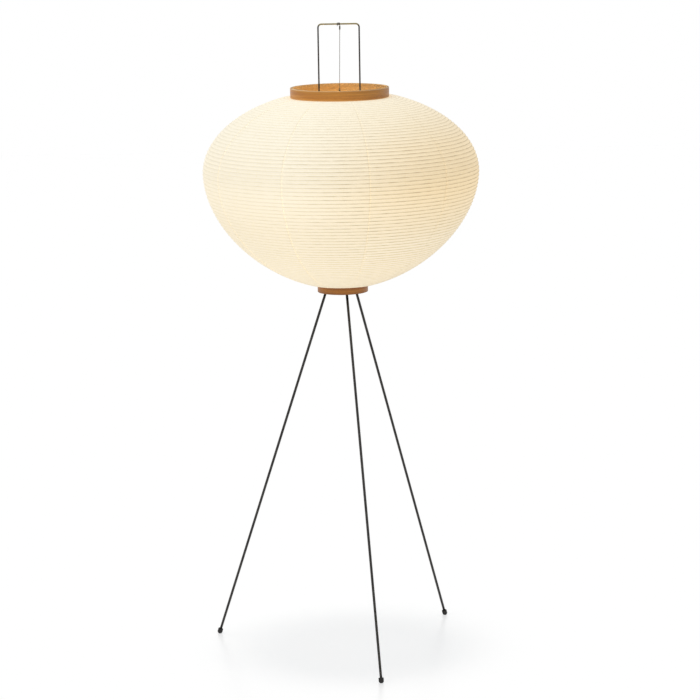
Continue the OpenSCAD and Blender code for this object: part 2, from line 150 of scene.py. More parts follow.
# %% Read the sizes and write down the outline of the shade
MM = 0.001
SHADE_BODY = "shade_top"
top_low, top_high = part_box("top_hoop_outer")
low_low, low_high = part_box("bottom_hoop_outer")
TOP_R, LOW_R = top_high.x, low_high.x
STRIP_OUT, STRIP_GAP, STRIP_IN = 2.2 * MM, 0.9 * MM, 1.6 * MM
PAPER_T = 0.3 * MM
SHADE_R, WIDEST_Z = 266.5 * MM, 944.5 * MM
# The hoops hold the sheet flat from these heights on, a little before the outline's own ends
PAPER_TOP, PAPER_LOW = 1087.4 * MM, 726.3 * MM
CROWN_OVER, BOWL_UNDER, BOWL_POWER = 4.3 * MM, 4.6 * MM, 1.83
TOP_COLLAR, LOW_COLLAR = 12 * MM, 7 * MM
PLEATS, STRIPS = 78, 10
FIRST_SEAM = math.radians(-79)


def paper_edge_radius(hoop_r):
    return hoop_r - STRIP_OUT - STRIP_GAP / 2 + PAPER_T / 2


FIRST = math.acos(paper_edge_radius(TOP_R) / SHADE_R)
LAST = -math.acos((paper_edge_radius(LOW_R) / SHADE_R) ** (BOWL_POWER / 2))
CROWN_H = (PAPER_TOP + CROWN_OVER - WIDEST_Z) / math.sin(FIRST)
BOWL_H = (WIDEST_Z - PAPER_LOW + BOWL_UNDER) / math.sin(-LAST) ** (2 / BOWL_POWER)


def shade_point(angle):
    if angle >= 0:
        r, z = SHADE_R * math.cos(angle), WIDEST_Z + CROWN_H * math.sin(angle)
    else:
        r = SHADE_R * math.cos(angle) ** (2 / BOWL_POWER)
        z = WIDEST_Z - BOWL_H * math.sin(-angle) ** (2 / BOWL_POWER)
    return Vector((r, 0, min(PAPER_TOP, max(PAPER_LOW, z))))


def folds():
    steps = 3000
    trail = [shade_point(FIRST + (LAST - FIRST) * i / steps) for i in range(steps + 1)]
    runs = [0.0]
    for a, b in zip(trail, trail[1:]):
        runs.append(runs[-1] + (b - a).length)
    found, i = [], 0
    for k in range(PLEATS + 1):
        while i < steps and runs[i] < runs[-1] * k / PLEATS - 1e-9:
            i += 1
        found.append(trail[i])
    return found


fold_points = folds()
pleat_run = (fold_points[40] - fold_points[39]).length
print("a pleat every", round(pleat_run / MM, 2), "mm along the outline")

# %% [markdown]
# ## Making meshes
#
# Three small tools are enough for every piece. One turns a list of points and faces into an object. One
# spins a profile round an axis, which suits everything that a lathe would make. One runs a Geometry Nodes
# tree on a source mesh, keeps the result as a plain mesh, and drops the modifier, so that the piece is
# exactly what is seen. Two more place a piece: one says which body it rides on and which solids it stands
# for, and one gives a finish to solids whose shape is right already. The corners of a profile are quarter
# rounds, and a last small function lists their angles.

# %% Tools for meshes, Geometry Nodes and placing
def mesh_object(name, points, faces):
    mesh = bpy.data.meshes.new(name)
    mesh.from_pydata([tuple(p) for p in points], [], faces)
    mesh.shade_smooth()
    piece = bpy.data.objects.new(name, mesh)
    bpy.context.scene.collection.objects.link(piece)
    return piece


def spun(name, profile, around=96, shape=lambda r, z, turn: (r, z), frame_of=Matrix.Identity(4)):
    points, rings = [], []
    for r, z in profile:
        if r < 1e-7:
            rings.append([len(points)] * around)
            points.append(frame_of @ Vector((0, 0, z)))
            continue
        rings.append(list(range(len(points), len(points) + around)))
        for i in range(around):
            turn = 2 * math.pi * i / around
            new_r, new_z = shape(r, z, turn)
            points.append(frame_of @ Vector((new_r * math.cos(turn), new_r * math.sin(turn), new_z)))
    closed = profile[0][0] > 1e-7 or profile[-1][0] > 1e-7
    pairs = list(zip(rings, rings[1:])) + ([(rings[-1], rings[0])] if closed else [])
    faces = []
    for low, high in pairs:
        for i in range(around):
            j = (i + 1) % around
            corners = list(dict.fromkeys((low[i], low[j], high[j], high[i])))
            if len(corners) > 2:
                faces.append(corners)
    return mesh_object(name, points, faces)


def new_tree(name, **inputs):
    tree = bpy.data.node_groups.new(name, "GeometryNodeTree")
    tree.interface.new_socket("Geometry", in_out="INPUT", socket_type="NodeSocketGeometry")
    for label, value in inputs.items():
        kind = "NodeSocketObject" if isinstance(value, bpy.types.Object) else "NodeSocketFloat"
        socket = tree.interface.new_socket(label, in_out="INPUT", socket_type=kind)
        socket.default_value = value
    tree.interface.new_socket("Geometry", in_out="OUTPUT", socket_type="NodeSocketGeometry")
    return tree, tree.nodes.new("NodeGroupInput").outputs, tree.nodes.new("NodeGroupOutput")


def grown(name, tree, source, wall=0.0, **values):
    piece = bpy.data.objects.new(name, source)
    bpy.context.scene.collection.objects.link(piece)
    modifier = piece.modifiers.new("grow", "NODES")
    modifier.node_group = tree
    sockets = {s.name: s.identifier for s in tree.interface.items_tree if s.in_out == "INPUT"}
    for label, value in values.items():
        modifier[sockets[label]] = value
    if wall:
        solid = piece.modifiers.new("wall", "SOLIDIFY")
        solid.thickness, solid.offset, solid.use_even_offset = wall, -1.0, True
    view = bpy.context.evaluated_depsgraph_get()
    made = bpy.data.meshes.new_from_object(
        piece.evaluated_get(view), preserve_all_data_layers=True, depsgraph=view
    )
    piece.modifiers.clear()
    piece.data = made
    made.name = name
    return piece


def point_mesh(name, points, edges=None):
    mesh = bpy.data.meshes.new(name)
    chain = [(i, i + 1) for i in range(len(points) - 1)]
    mesh.from_pydata([tuple(p) for p in points], chain if edges is None else edges, [])
    return mesh


def quarter_turn(steps):
    return [math.pi / 2 * k / steps for k in range(steps + 1)]


def place(piece, body, slot, *replaced, material=None):
    if material:
        piece.data.materials.clear()
        piece.data.materials.append(material)
    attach(piece, body)
    if replaced:
        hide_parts(*replaced)
    print(piece.name, "has", len(piece.data.polygons), "faces")
    return piece


def repaint(material, *names):
    for name in names:
        mesh = nodes[name].data
        mesh.materials.clear()
        mesh.materials.append(material)
    print(material.name, "is on", ", ".join(names))


# %% [markdown]
# ## Studio
#
# The lamp stands on a plain pale floor in front of nothing. A soft window of light stands to the left and
# in front, a second one hangs 8 m up, so high that the shadow it makes stays close under the shade, and the
# sky fills the rest. What the camera sees past the lamp is pure white, and it gets that white from Light
# Path, so the lamp itself gets no more light than a plain room would give it.
#
# The floor is white paper. A plain one would leave a wide grey shade, so the camera sees it lifted by a
# little light of its own near the lamp, and it turns to pure white further out. Smooth paper also has a
# sheen where it is looked at from a flat angle. A glossy shader mixed in by Fresnel gives it: each foot is
# mirrored for a few millimetres, and that seats it on the floor.

# %% Light the room and lay the floor
FLOOR_HALF = 9
LIFT_FULL_R, LIFT_GONE_R = 0.16, 0.38


def direct_view(tree):
    path = add(tree, "ShaderNodeLightPath")
    seen = add(tree, M, {0: path.outputs["Is Camera Ray"], 1: path.outputs["Is Glossy Ray"]}, operation="MAXIMUM")
    return add(tree, M, {0: seen, 1: path.outputs["Is Transmission Ray"]}, operation="MAXIMUM")


world = bpy.data.worlds.new("white_room")
world.use_nodes = True
sky = world.node_tree
sky.nodes.clear()
seen = add(sky, "ShaderNodeBackground", {"Color": linear("#ffffff"), "Strength": 1.0})
fill = add(sky, "ShaderNodeBackground", {"Color": linear("#ffffff"), "Strength": 0.40})
choice = add(sky, "ShaderNodeMixShader", {0: direct_view(sky), 1: fill, 2: seen})
add(sky, "ShaderNodeOutputWorld", {"Surface": choice})
bpy.context.scene.world = world


def soft_window(name, place_at, aim_at, size, watts, colour):
    data = bpy.data.lights.new(name, "AREA")
    data.shape, data.size, data.energy, data.color = "DISK", size, watts, linear(colour)[:3]
    lamp = bpy.data.objects.new(name, data)
    lamp.location = place_at
    lamp.rotation_euler = (Vector(aim_at) - Vector(place_at)).to_track_quat("-Z", "Y").to_euler()
    bpy.context.scene.collection.objects.link(lamp)
    return lamp


soft_window("left_window", (-2.6, -1.6, 3.4), (0, 0, 0.9), 1.6, 15, "#ffffff")
soft_window("top_window", (-0.25, 0.45, 8.0), (0, 0, 0), 2.2, 118, "#fffdf8")

floor, tree, paint = new_material("seamless_paper_floor")
paint.inputs["Base Color"].default_value = linear("#f4f3f1")
paint.inputs["Roughness"].default_value = 0.9
here = add(tree, "ShaderNodeTexCoord").outputs["Object"]
grain = add(tree, "ShaderNodeTexNoise", {"Vector": here, "Scale": 300.0})
bump = add(tree, "ShaderNodeBump", {"Height": grain, "Strength": 0.05})
tree.links.new(bump.outputs[0], paint.inputs["Normal"])
near = add(tree, "ShaderNodeEmission", {"Color": linear("#f4f9ff"), "Strength": 0.46})
near = add(tree, "ShaderNodeAddShader", {0: paint, 1: near})
white = add(tree, "ShaderNodeEmission", {"Color": linear("#ffffff"), "Strength": 1.0})
far = add(tree, "ShaderNodeVectorMath", {0: here}, operation="LENGTH").outputs["Value"]
far = add(
    tree, "ShaderNodeMapRange", {0: far, 1: LIFT_FULL_R, 2: LIFT_GONE_R}, interpolation_type="SMOOTHSTEP"
)
seen = add(tree, "ShaderNodeMixShader", {0: far, 1: near, 2: white})
sheen = add(tree, "ShaderNodeBsdfAnisotropic", {"Color": linear("#ffffff"), "Roughness": 0.3})
grazing = add(tree, "ShaderNodeFresnel", {"IOR": 1.33})
seen = add(tree, "ShaderNodeMixShader", {0: grazing, 1: seen, 2: sheen})
kept = add(tree, "ShaderNodeMixShader", {0: direct_view(tree), 1: paint, 2: seen})
tree.links.new(kept.outputs[0], tree.nodes["Material Output"].inputs["Surface"])

corners = [(x * FLOOR_HALF, y * FLOOR_HALF, 0) for x, y in ((-1, -1), (1, -1), (1, 1), (-1, 1))]
ground = mesh_object("studio_floor", corners, [(0, 1, 2, 3)])
ground.data.materials.append(floor)
floor.cycles.emission_sampling = "NONE"
ground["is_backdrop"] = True
print("the floor is", 2 * FLOOR_HALF, "m wide")

# %% [markdown]
# ## Finishes
#
# Each material below begins with what the real one is and how its surface was made. Patterns are drawn
# on Object coordinates, which are metres here, or on a piece's own UV map where the grain has to follow a
# bend. A scale of 1 / 0.002 therefore means a feature of about 2 mm.

# %% Washi: a sheet of mulberry fibres, glued over the ribs, with the light from behind painted as a glow
# Washi is a dull, slightly hairy sheet, so it is rough, has a faint sheen and hardly any gloss. The bulb's light
# through it is painted as an emission glow, less where a rib lies behind it and where two strips overlap.
washi, tree, paint = new_material("washi_paper")
coords = add(tree, "ShaderNodeTexCoord")
here, chart = coords.outputs["Object"], add(tree, "ShaderNodeSeparateXYZ", {0: coords.outputs["UV"]})
cloud = add(tree, "ShaderNodeTexNoise", {"Vector": here, "Scale": 1 / 0.030, "Detail": 3.0})
warp = add(tree, "ShaderNodeTexNoise", {"Vector": here, "Scale": 1 / 0.012, "Detail": 2.0})
bent = add(tree, "ShaderNodeVectorMath", {0: warp.outputs["Color"], "Scale": 0.012}, operation="SCALE")
bent = add(tree, "ShaderNodeVectorMath", {0: bent, 1: here}, operation="ADD")
web = add(tree, "ShaderNodeTexVoronoi", {"Vector": bent, "Scale": 1 / 0.009}, feature="DISTANCE_TO_EDGE")
fibre = add(tree, "ShaderNodeMapRange", {0: web.outputs["Distance"], 1: 0.0, 2: 0.05, 3: 1.0, 4: 0.0})
tooth = add(tree, "ShaderNodeTexNoise", {"Vector": here, "Scale": 1 / 0.0012, "Detail": 2.0})

# How far a point is from a rib, from 0 in the middle of a pleat to 1 on the fold
pleat = add(tree, M, {0: chart.outputs["Y"], 1: PLEATS + 2.0}, operation="MULTIPLY")
from_rib = add(tree, M, {0: add(tree, M, {0: pleat}, operation="FRACT"), 1: 0.5}, operation="SUBTRACT")
from_rib = add(tree, M, {0: add(tree, M, {0: from_rib}, operation="ABSOLUTE"), 1: 2.0}, operation="MULTIPLY")
# The fine lines of the ribs are painted shadow: the sheet is darker where a rib behind it blocks the bulb's light
rib_shadow = add(tree, "ShaderNodeMapRange", {0: from_rib, 1: 0.52, 2: 0.82}, interpolation_type="SMOOTHSTEP")

# Each rib is pressed on the paper more in some places than in others, over about 25 mm of its length
along_rib = add(tree, "ShaderNodeMapping", {0: coords.outputs["UV"], "Scale": (7.0, PLEATS + 2.0, 1.0)})
pressed = add(tree, "ShaderNodeTexNoise", {"Vector": along_rib, "Scale": 1.0, "Detail": 2.0})
pressed = add(tree, "ShaderNodeMapRange", {0: pressed.outputs[0], 1: 0.36, 2: 0.62, 3: 0.4, 4: 1.0})
rib_shadow = add(tree, M, {0: rib_shadow, 1: pressed}, operation="MULTIPLY")

# Painted shade: the paper is tinted warmer and darker on the +X side, away from the left window, most in a band
# around 0.97 m, and it is also warmer towards the bottom
place_at = add(tree, "ShaderNodeSeparateXYZ", {0: here})
east, level = place_at.outputs["X"], place_at.outputs["Z"]
side_shade = add(tree, "ShaderNodeMapRange", {0: east, 1: -0.12, 2: 0.22, 4: 0.85}, interpolation_type="SMOOTHSTEP")
band = add(tree, M, {0: add(tree, M, {0: level, 1: 0.97}, operation="SUBTRACT")}, operation="ABSOLUTE")
band = add(tree, "ShaderNodeMapRange", {0: band, 1: 0.04, 2: 0.14, 3: 1.0, 4: 0.2})
under = add(tree, "ShaderNodeMapRange", {0: level, 1: 0.85, 2: 1.03, 3: 0.35, 4: 0.0})
warm_shade = add(tree, M, {0: add(tree, M, {0: side_shade, 1: band}, operation="MULTIPLY"), 1: under}, operation="ADD")

# The painted rib shadow is weakest on the −X side, where the left window's light falls, a little weaker past +0.15 m
# in X, and it fades next to both hoops
lit_side_fade = {0: east, 1: -0.2, 2: 0.12, 3: 0.2, 4: 0.72}
lit_side_fade = add(tree, "ShaderNodeMapRange", lit_side_fade, interpolation_type="SMOOTHSTEP")
right_fade = add(tree, "ShaderNodeMapRange", {0: east, 2: 0.15, 3: 1.0, 4: 0.93})
above = add(tree, "ShaderNodeMapRange", {0: level, 1: 0.765, 2: 0.84, 3: 0.95, 4: 1.04})
crown = add(tree, "ShaderNodeMapRange", {0: level, 1: 1.01, 2: 1.075, 3: 1.0, 4: 0.55})
shows = add(tree, M, {0: add(tree, M, {0: lit_side_fade, 1: right_fade}, operation="MULTIPLY"), 1: above}, operation="MULTIPLY")
shows = add(tree, M, {0: shows, 1: crown}, operation="MULTIPLY")
rib_shadow = add(tree, M, {0: rib_shadow, 1: shows}, operation="MULTIPLY")

# The last tenth of a strip's chart is its overlap with the next strip, whose glue shows in some places only
overlap = add(tree, "ShaderNodeMapRange", {0: chart.outputs["X"], 1: 0.897, 2: 0.903})
glued = add(tree, "ShaderNodeTexNoise", {"Vector": here, "Scale": 1 / 0.11}).outputs[0]
glued = add(tree, "ShaderNodeMapRange", {0: glued, 1: 0.45, 2: 0.62, 3: 0.05, 4: 1.0})
overlap = add(tree, M, {0: overlap, 1: glued}, operation="MULTIPLY")

# The sheet is cream and a little cloudy. Over that go the fibres, the painted shadow lines of the ribs, the
# painted warm shade and the overlaps, each with its colour and with the most of it that shows
clouded = {0: cloud.outputs[0], 6: linear("#f0e9d5"), 7: linear("#f5efdf")}
sheet_tint = add(tree, "ShaderNodeMix", clouded, data_type="RGBA").outputs[2]
layers = (
    (fibre, 0.35, "#e4d3ae"),
    (rib_shadow, 0.9, "#c0ac86"),
    (warm_shade, 0.4, "#ecd3a0"),
    (overlap, 0.12, "#c9b078"),
)
for pattern, most, colour in layers:
    amount = add(tree, M, {0: pattern, 1: most}, operation="MULTIPLY")
    layer = {0: amount, 6: sheet_tint, 7: linear(colour)}
    sheet_tint = add(tree, "ShaderNodeMix", layer, data_type="RGBA").outputs[2]
tree.links.new(sheet_tint, paint.inputs["Base Color"])

# The painted glow is weaker towards the top and strongest in a band just under the widest place, about 0.06 m
# to each side, and it is painted a little dimmer towards the left and right edges in X
GLOW_Z, GLOW_BAND = 0.92, 0.06
fading = add(tree, "ShaderNodeMapRange", {0: level, 1: 0.78, 2: 1.04, 3: 0.495, 4: 0.38})
off = add(tree, M, {0: level, 1: GLOW_Z}, operation="SUBTRACT")
off = add(tree, M, {0: off, 1: GLOW_BAND}, operation="DIVIDE")
off = add(tree, M, {0: off, 1: 2.0}, operation="POWER")
near_bulb = add(tree, M, {0: 1.0, 1: add(tree, M, {0: off, 1: 1.0}, operation="ADD")}, operation="DIVIDE")
painted_glow = add(tree, M, {0: add(tree, M, {0: near_bulb, 1: 0.11}, operation="MULTIPLY"), 1: fading}, operation="ADD")
# Painted dimming of the glow towards the left and right edges in X
painted_side_dimming = add(tree, M, {0: east}, operation="ABSOLUTE")
painted_side_dimming = add(tree, "ShaderNodeMapRange", {0: painted_side_dimming, 1: 0.08, 2: 0.22, 3: 1.0, 4: 0.9})
painted_glow = add(tree, M, {0: painted_glow, 1: painted_side_dimming}, operation="MULTIPLY")
shade_of_rib = add(tree, "ShaderNodeMapRange", {0: rib_shadow, 3: 1.0, 4: 0.05})
shade_of_lap = add(tree, "ShaderNodeMapRange", {0: overlap, 3: 1.0, 4: 0.95})
painted_glow = add(tree, M, {0: painted_glow, 1: shade_of_rib}, operation="MULTIPLY")
painted_glow = add(tree, M, {0: painted_glow, 1: shade_of_lap}, operation="MULTIPLY")
tree.links.new(painted_glow.outputs[0], paint.inputs["Emission Strength"])
# The painted glow is tinted warmer where the painted warm shade lies
glow_tint = add(tree, "ShaderNodeMix", {0: warm_shade, 6: linear("#fff6e0"), 7: linear("#ffe0ac")}, data_type="RGBA")
tree.links.new(glow_tint.outputs[2], paint.inputs["Emission Color"])

relief = add(tree, M, {0: tooth.outputs[0], 1: 0.6}, operation="MULTIPLY")
relief = add(tree, M, {0: fibre, 1: relief}, operation="ADD")
bump = add(tree, "ShaderNodeBump", {"Height": relief, "Strength": 0.35, "Distance": 0.0002})
tree.links.new(bump.outputs[0], paint.inputs["Normal"])
paint.inputs["Roughness"].default_value = 0.85
paint.inputs["IOR"].default_value = 1.45
paint.inputs["Sheen Weight"].default_value = 0.15
# The painted glow of the sheet is weak and wide, so it isn't aimed at as a lamp: that leaves the bulb to be the lamp
washi.cycles.emission_sampling = "NONE"
print(washi.name, "is ready")

# %% Wood: thin strips steamed, bent to hoops and sealed with a satin lacquer
# The grain runs round the hoop. Lacquer gives a soft highlight over long light and dark streaks, with
# fine short pores. Its edges take their own colour in patches. The +X side, away from the left window, is
# darkened as painted shade. The outer strip of the top hoop is golden, the lower hoop is a darker honey, and
# the inner strips are paler.
def bent_wood(name, light, dark, pore, edge, rims, dullness=0.40, lacquer=0.05, relief=0.25):
    wood, tree, paint = new_material(name)
    chart = add(tree, "ShaderNodeTexCoord").outputs["UV"]
    long_way = add(tree, "ShaderNodeMapping", {0: chart, "Scale": (1 / 0.090, 1 / 0.0016, 1.0)})
    streak = add(tree, "ShaderNodeTexNoise", {"Vector": long_way, "Scale": 1.0, "Detail": 4.0, "Roughness": 0.6})
    long_way = add(tree, "ShaderNodeMapping", {0: chart, "Scale": (1 / 0.16, 1 / 0.008, 1.0)})
    broad = add(tree, "ShaderNodeTexNoise", {"Vector": long_way, "Scale": 1.0})
    long_way = add(tree, "ShaderNodeMapping", {0: chart, "Scale": (1 / 0.006, 1 / 0.0004, 1.0)})
    pores = add(tree, "ShaderNodeTexNoise", {"Vector": long_way, "Scale": 1.0})
    pores = add(tree, "ShaderNodeMapRange", {0: pores.outputs[0], 1: 0.62, 2: 0.72})
    ring = add(tree, M, {0: streak.outputs[0], 1: broad.outputs[0]}, operation="MULTIPLY")
    ring = add(tree, "ShaderNodeMapRange", {0: ring, 1: 0.14, 2: 0.38})
    tint = add(tree, "ShaderNodeMix", {0: ring, 6: linear(dark), 7: linear(light)}, data_type="RGBA").outputs[2]
    in_pores = add(tree, M, {0: pores, 1: 0.5}, operation="MULTIPLY")
    place_at = add(tree, "ShaderNodeSeparateXYZ", {0: add(tree, "ShaderNodeTexCoord").outputs["Object"]})
    # Painted shade: the +X side of each hoop is darkened towards a deep brown
    right_side_shade = {0: place_at.outputs["X"], 1: -0.01, 2: 0.11, 4: 0.36}
    right_side_shade = add(tree, "ShaderNodeMapRange", right_side_shade, interpolation_type="SMOOTHSTEP")
    past_middle = add(tree, M, {0: place_at.outputs["Z"], 1: (rims[0] + rims[1]) / 2}, operation="SUBTRACT")
    past_middle = add(tree, M, {0: past_middle}, operation="ABSOLUTE")
    half = (rims[1] - rims[0]) / 2
    edge_patches = add(tree, "ShaderNodeMapRange", {0: past_middle, 1: half - 1.6 * MM, 2: half - 0.4 * MM, 4: 0.8})
    patchy = add(tree, "ShaderNodeMapRange", {0: broad.outputs[0], 1: 0.3, 2: 0.6, 3: 0.4})
    edge_patches = add(tree, M, {0: edge_patches, 1: patchy}, operation="MULTIPLY")
    for amount, colour in ((in_pores, pore), (right_side_shade, "#3a2410"), (edge_patches, edge)):
        layer = {0: amount, 6: tint, 7: linear(colour)}
        tint = add(tree, "ShaderNodeMix", layer, data_type="RGBA").outputs[2]
    tree.links.new(tint, paint.inputs["Base Color"])
    gloss = add(tree, "ShaderNodeMapRange", {0: streak.outputs[0], 3: dullness, 4: dullness + 0.14})
    tree.links.new(gloss.outputs[0], paint.inputs["Roughness"])
    dips = add(tree, M, {0: streak.outputs[0], 1: pores}, operation="SUBTRACT")
    bump = add(tree, "ShaderNodeBump", {"Height": dips, "Strength": relief, "Distance": 0.0001})
    tree.links.new(bump.outputs[0], paint.inputs["Normal"])
    paint.inputs["IOR"].default_value = 1.5
    paint.inputs["Coat Weight"].default_value = lacquer
    paint.inputs["Coat Roughness"].default_value = 0.25
    return wood


top_rims, low_rims = (top_low.z, top_high.z), (low_low.z, low_high.z)
outer_wood = bent_wood("bent_wood_lacquered", "#eaa446", "#c47f32", "#7d4c1f", "#f0cf98", top_rims)
lower_wood = bent_wood("bent_wood_darkened", "#c68232", "#9c5f22", "#6b3f18", "#7a4d22", low_rims)
inner_wood = bent_wood("bent_wood_unsealed", "#e6bf84", "#cc9d60", "#9c7040", "#f0cf98", top_rims, 0.6, 0.0, 0.05)

# Split bamboo is pale, straight-grained and a little waxy on its skin
bamboo, tree, paint = new_material("split_bamboo")
here = add(tree, "ShaderNodeTexCoord").outputs["Object"]
strands = add(tree, "ShaderNodeMapping", {0: here, "Scale": (1 / 0.02, 1 / 0.02, 1 / 0.0004)})
strands = add(tree, "ShaderNodeTexNoise", {"Vector": strands, "Scale": 1.0})
tint = {0: strands.outputs[0], 6: linear("#c9a468"), 7: linear("#e3c893")}
tint = add(tree, "ShaderNodeMix", tint, data_type="RGBA")
tree.links.new(tint.outputs[2], paint.inputs["Base Color"])
bump = add(tree, "ShaderNodeBump", {"Height": strands, "Strength": 0.2, "Distance": 0.0001})
tree.links.new(bump.outputs[0], paint.inputs["Normal"])
paint.inputs["Roughness"].default_value = 0.5
paint.inputs["IOR"].default_value = 1.5
print(outer_wood.name, lower_wood.name, inner_wood.name, bamboo.name, "are ready")

# %% Metals: black rods, binding wire, zinc, brass and aluminium
# One recipe covers the metals. The base is the metal's own tint. Drawing, plating and turning leave fine
# lines, which stretch along Z or run round a piece, and handling leaves a cloudy change of roughness.
def metal(name, tint, worn, roughness, lines, metallic=1.0, relief=0.00003):
    made, tree, paint = new_material(name)
    here = add(tree, "ShaderNodeTexCoord").outputs["Object"]
    drawn = add(tree, "ShaderNodeMapping", {0: here, "Scale": lines})
    drawn = add(tree, "ShaderNodeTexNoise", {"Vector": drawn, "Scale": 1.0, "Detail": 3.0})
    cloud = add(tree, "ShaderNodeTexNoise", {"Vector": here, "Scale": 1 / 0.012, "Detail": 3.0})
    wear = add(tree, "ShaderNodeMapRange", {0: cloud.outputs[0], 1: 0.4, 2: 0.7})
    mixed = add(tree, "ShaderNodeMix", {0: wear, 6: linear(tint), 7: linear(worn)}, data_type="RGBA")
    tree.links.new(mixed.outputs[2], paint.inputs["Base Color"])
    dull = add(tree, M, {0: cloud.outputs[0], 1: 0.16}, operation="MULTIPLY")
    dull = add(tree, M, {0: dull, 1: roughness - 0.08}, operation="ADD")
    tree.links.new(dull.outputs[0], paint.inputs["Roughness"])
    bump = add(tree, "ShaderNodeBump", {"Height": drawn, "Strength": 0.3, "Distance": relief})
    tree.links.new(bump.outputs[0], paint.inputs["Normal"])
    paint.inputs["Metallic"].default_value = metallic
    return made


EVEN, DOWN = (1 / 0.0006,) * 3, (1 / 0.0004, 1 / 0.0004, 1 / 0.02)
# Steel rod, blackened hot and oiled: nearly black, with a low blue-grey gloss
blackened = metal("blackened_steel_rod", "#333130", "#43413e", 0.42, DOWN, metallic=0.75)
# The same steel on the hairpin, with a warm pale painted glow along its bar, where the bulb lights it from below
hairpin_finish = metal("hairpin_rod_with_painted_glow", "#3c3a38", "#4d4a47", 0.5, DOWN, metallic=0.75, relief=0.000004)
tree = hairpin_finish.node_tree
paint = tree.nodes["Principled BSDF"]
height = add(tree, "ShaderNodeSeparateXYZ", {0: add(tree, "ShaderNodeTexCoord").outputs["Object"]}).outputs["Z"]
# Painted glow: above about 1.223 m the bar is mixed to a warm pale grey
painted_bar_glow = add(tree, "ShaderNodeMapRange", {0: height, 1: 1.2225, 2: 1.2265}, interpolation_type="SMOOTHSTEP")
oiled = paint.inputs["Base Color"].links[0].from_socket
painted_bar_glow = add(tree, "ShaderNodeMix", {0: painted_bar_glow, 6: oiled, 7: linear("#857b52")}, data_type="RGBA")
tree.links.new(painted_bar_glow.outputs[2], paint.inputs["Base Color"])
# Soft iron wire, annealed: warm dark grey and dull
annealed = metal("annealed_binding_wire", "#5b554a", "#746b5b", 0.55, EVEN, metallic=0.85, relief=0.00001)
# Steel with bright zinc plating: light grey with a cloudy satin shine
zinc = metal("zinc_plated_steel", "#a3a5a8", "#8b8d90", 0.34, EVEN)
# Rolled brass sheet, slightly tarnished
brass = metal("rolled_brass", "#c8a45a", "#a98645", 0.3, EVEN)
# Aluminium pressed to a thread: light and soft in its shine
aluminium = metal("pressed_aluminium", "#c3c4c6", "#adafb1", 0.32, EVEN)
# Steel plate under a matt black powder coat, with the coat's orange peel of about 1 mm
powder = metal("black_powder_coat", "#252423", "#2d2c2b", 0.55, (1 / 0.001,) * 3, metallic=0.0, relief=0.0001)
print(blackened.name, hairpin_finish.name, annealed.name, zinc.name, "are ready")
print(brass.name, aluminium.name, powder.name, "are ready")

# %% Rubber, moulded plastic, porcelain and glass
def moulded(name, tint, pale, roughness, grain, ior, relief=0.00005):
    made, tree, paint = new_material(name)
    here = add(tree, "ShaderNodeTexCoord").outputs["Object"]
    fine = add(tree, "ShaderNodeTexNoise", {"Vector": here, "Scale": 1 / grain, "Detail": 3.0})
    dust = add(tree, "ShaderNodeTexNoise", {"Vector": here, "Scale": 1 / 0.006, "Detail": 4.0})
    dust = add(tree, "ShaderNodeMapRange", {0: dust.outputs[0], 1: 0.45, 2: 0.8})
    mixed = add(tree, "ShaderNodeMix", {0: dust, 6: linear(tint), 7: linear(pale)}, data_type="RGBA")
    tree.links.new(mixed.outputs[2], paint.inputs["Base Color"])
    rub = add(tree, "ShaderNodeMapRange", {0: fine.outputs[0], 3: roughness - 0.06, 4: roughness + 0.08})
    tree.links.new(rub.outputs[0], paint.inputs["Roughness"])
    bump = add(tree, "ShaderNodeBump", {"Height": fine, "Strength": 0.4, "Distance": relief})
    tree.links.new(bump.outputs[0], paint.inputs["Normal"])
    paint.inputs["IOR"].default_value = ior
    return made


# Black rubber picks up dust and goes grey on its rubbed parts
rubber = moulded("black_rubber", "#1d1c1c", "#3a3938", 0.75, 0.0007, 1.52)
# Pressed phenolic resin is hard, black and half glossy
phenolic = moulded("pressed_phenolic", "#1b1a1a", "#2b2928", 0.32, 0.0005, 1.6)
# Glazed porcelain is white and wet-looking, with a few soft waves in its glaze
porcelain = moulded("glazed_porcelain", "#efece4", "#e2ddd2", 0.14, 0.004, 1.5, relief=0.0001)

# Etched glass hides the lamp inside it, so the whole bulb shines evenly, a little less at its neck
etched, tree, paint = new_material("etched_opal_glass")
coords = add(tree, "ShaderNodeTexCoord").outputs["Object"]
etching = add(tree, "ShaderNodeTexNoise", {"Vector": coords, "Scale": 1 / 0.0006, "Detail": 2.0})
bump = add(tree, "ShaderNodeBump", {"Height": etching, "Strength": 0.2, "Distance": 0.00005})
tree.links.new(bump.outputs[0], paint.inputs["Normal"])
cloud = add(tree, "ShaderNodeTexNoise", {"Vector": coords, "Scale": 1 / 0.01})
tint = add(tree, "ShaderNodeMix", {0: cloud.outputs[0], 6: linear("#f7f2e8"), 7: linear("#fdfaf4")}, data_type="RGBA")
tree.links.new(tint.outputs[2], paint.inputs["Base Color"])
level = add(tree, "ShaderNodeSeparateXYZ", {0: coords})
level = add(tree, "ShaderNodeMapRange", {0: level.outputs["Z"], 1: 0.79, 2: 0.83, 3: 5.0, 4: 14.0})
tree.links.new(level.outputs[0], paint.inputs["Emission Strength"])
paint.inputs["Emission Color"].default_value = linear("#ffe9cc")
paint.inputs["Roughness"].default_value = 0.35
paint.inputs["IOR"].default_value = 1.5
etched.cycles.emission_sampling = "FRONT"
print(rubber.name, phenolic.name, porcelain.name, etched.name, "are ready")

# %% [markdown]
# ## The paper
#
# A real lantern is papered in long strips, each cut like the peel of an orange and glued to the ribs and to
# the strip beside it with a few millimetres of overlap. As the glue dries the sheet tightens and falls in a
# little between the ribs. That is a rule, so Geometry Nodes make it. A plain grid is the sheet. Its rows look
# up the fold points one after another, its columns turn round the axis, and the sag between two folds is a
# parabola. The last columns lift by a little more than the paper's thickness, to lie on the next strip.

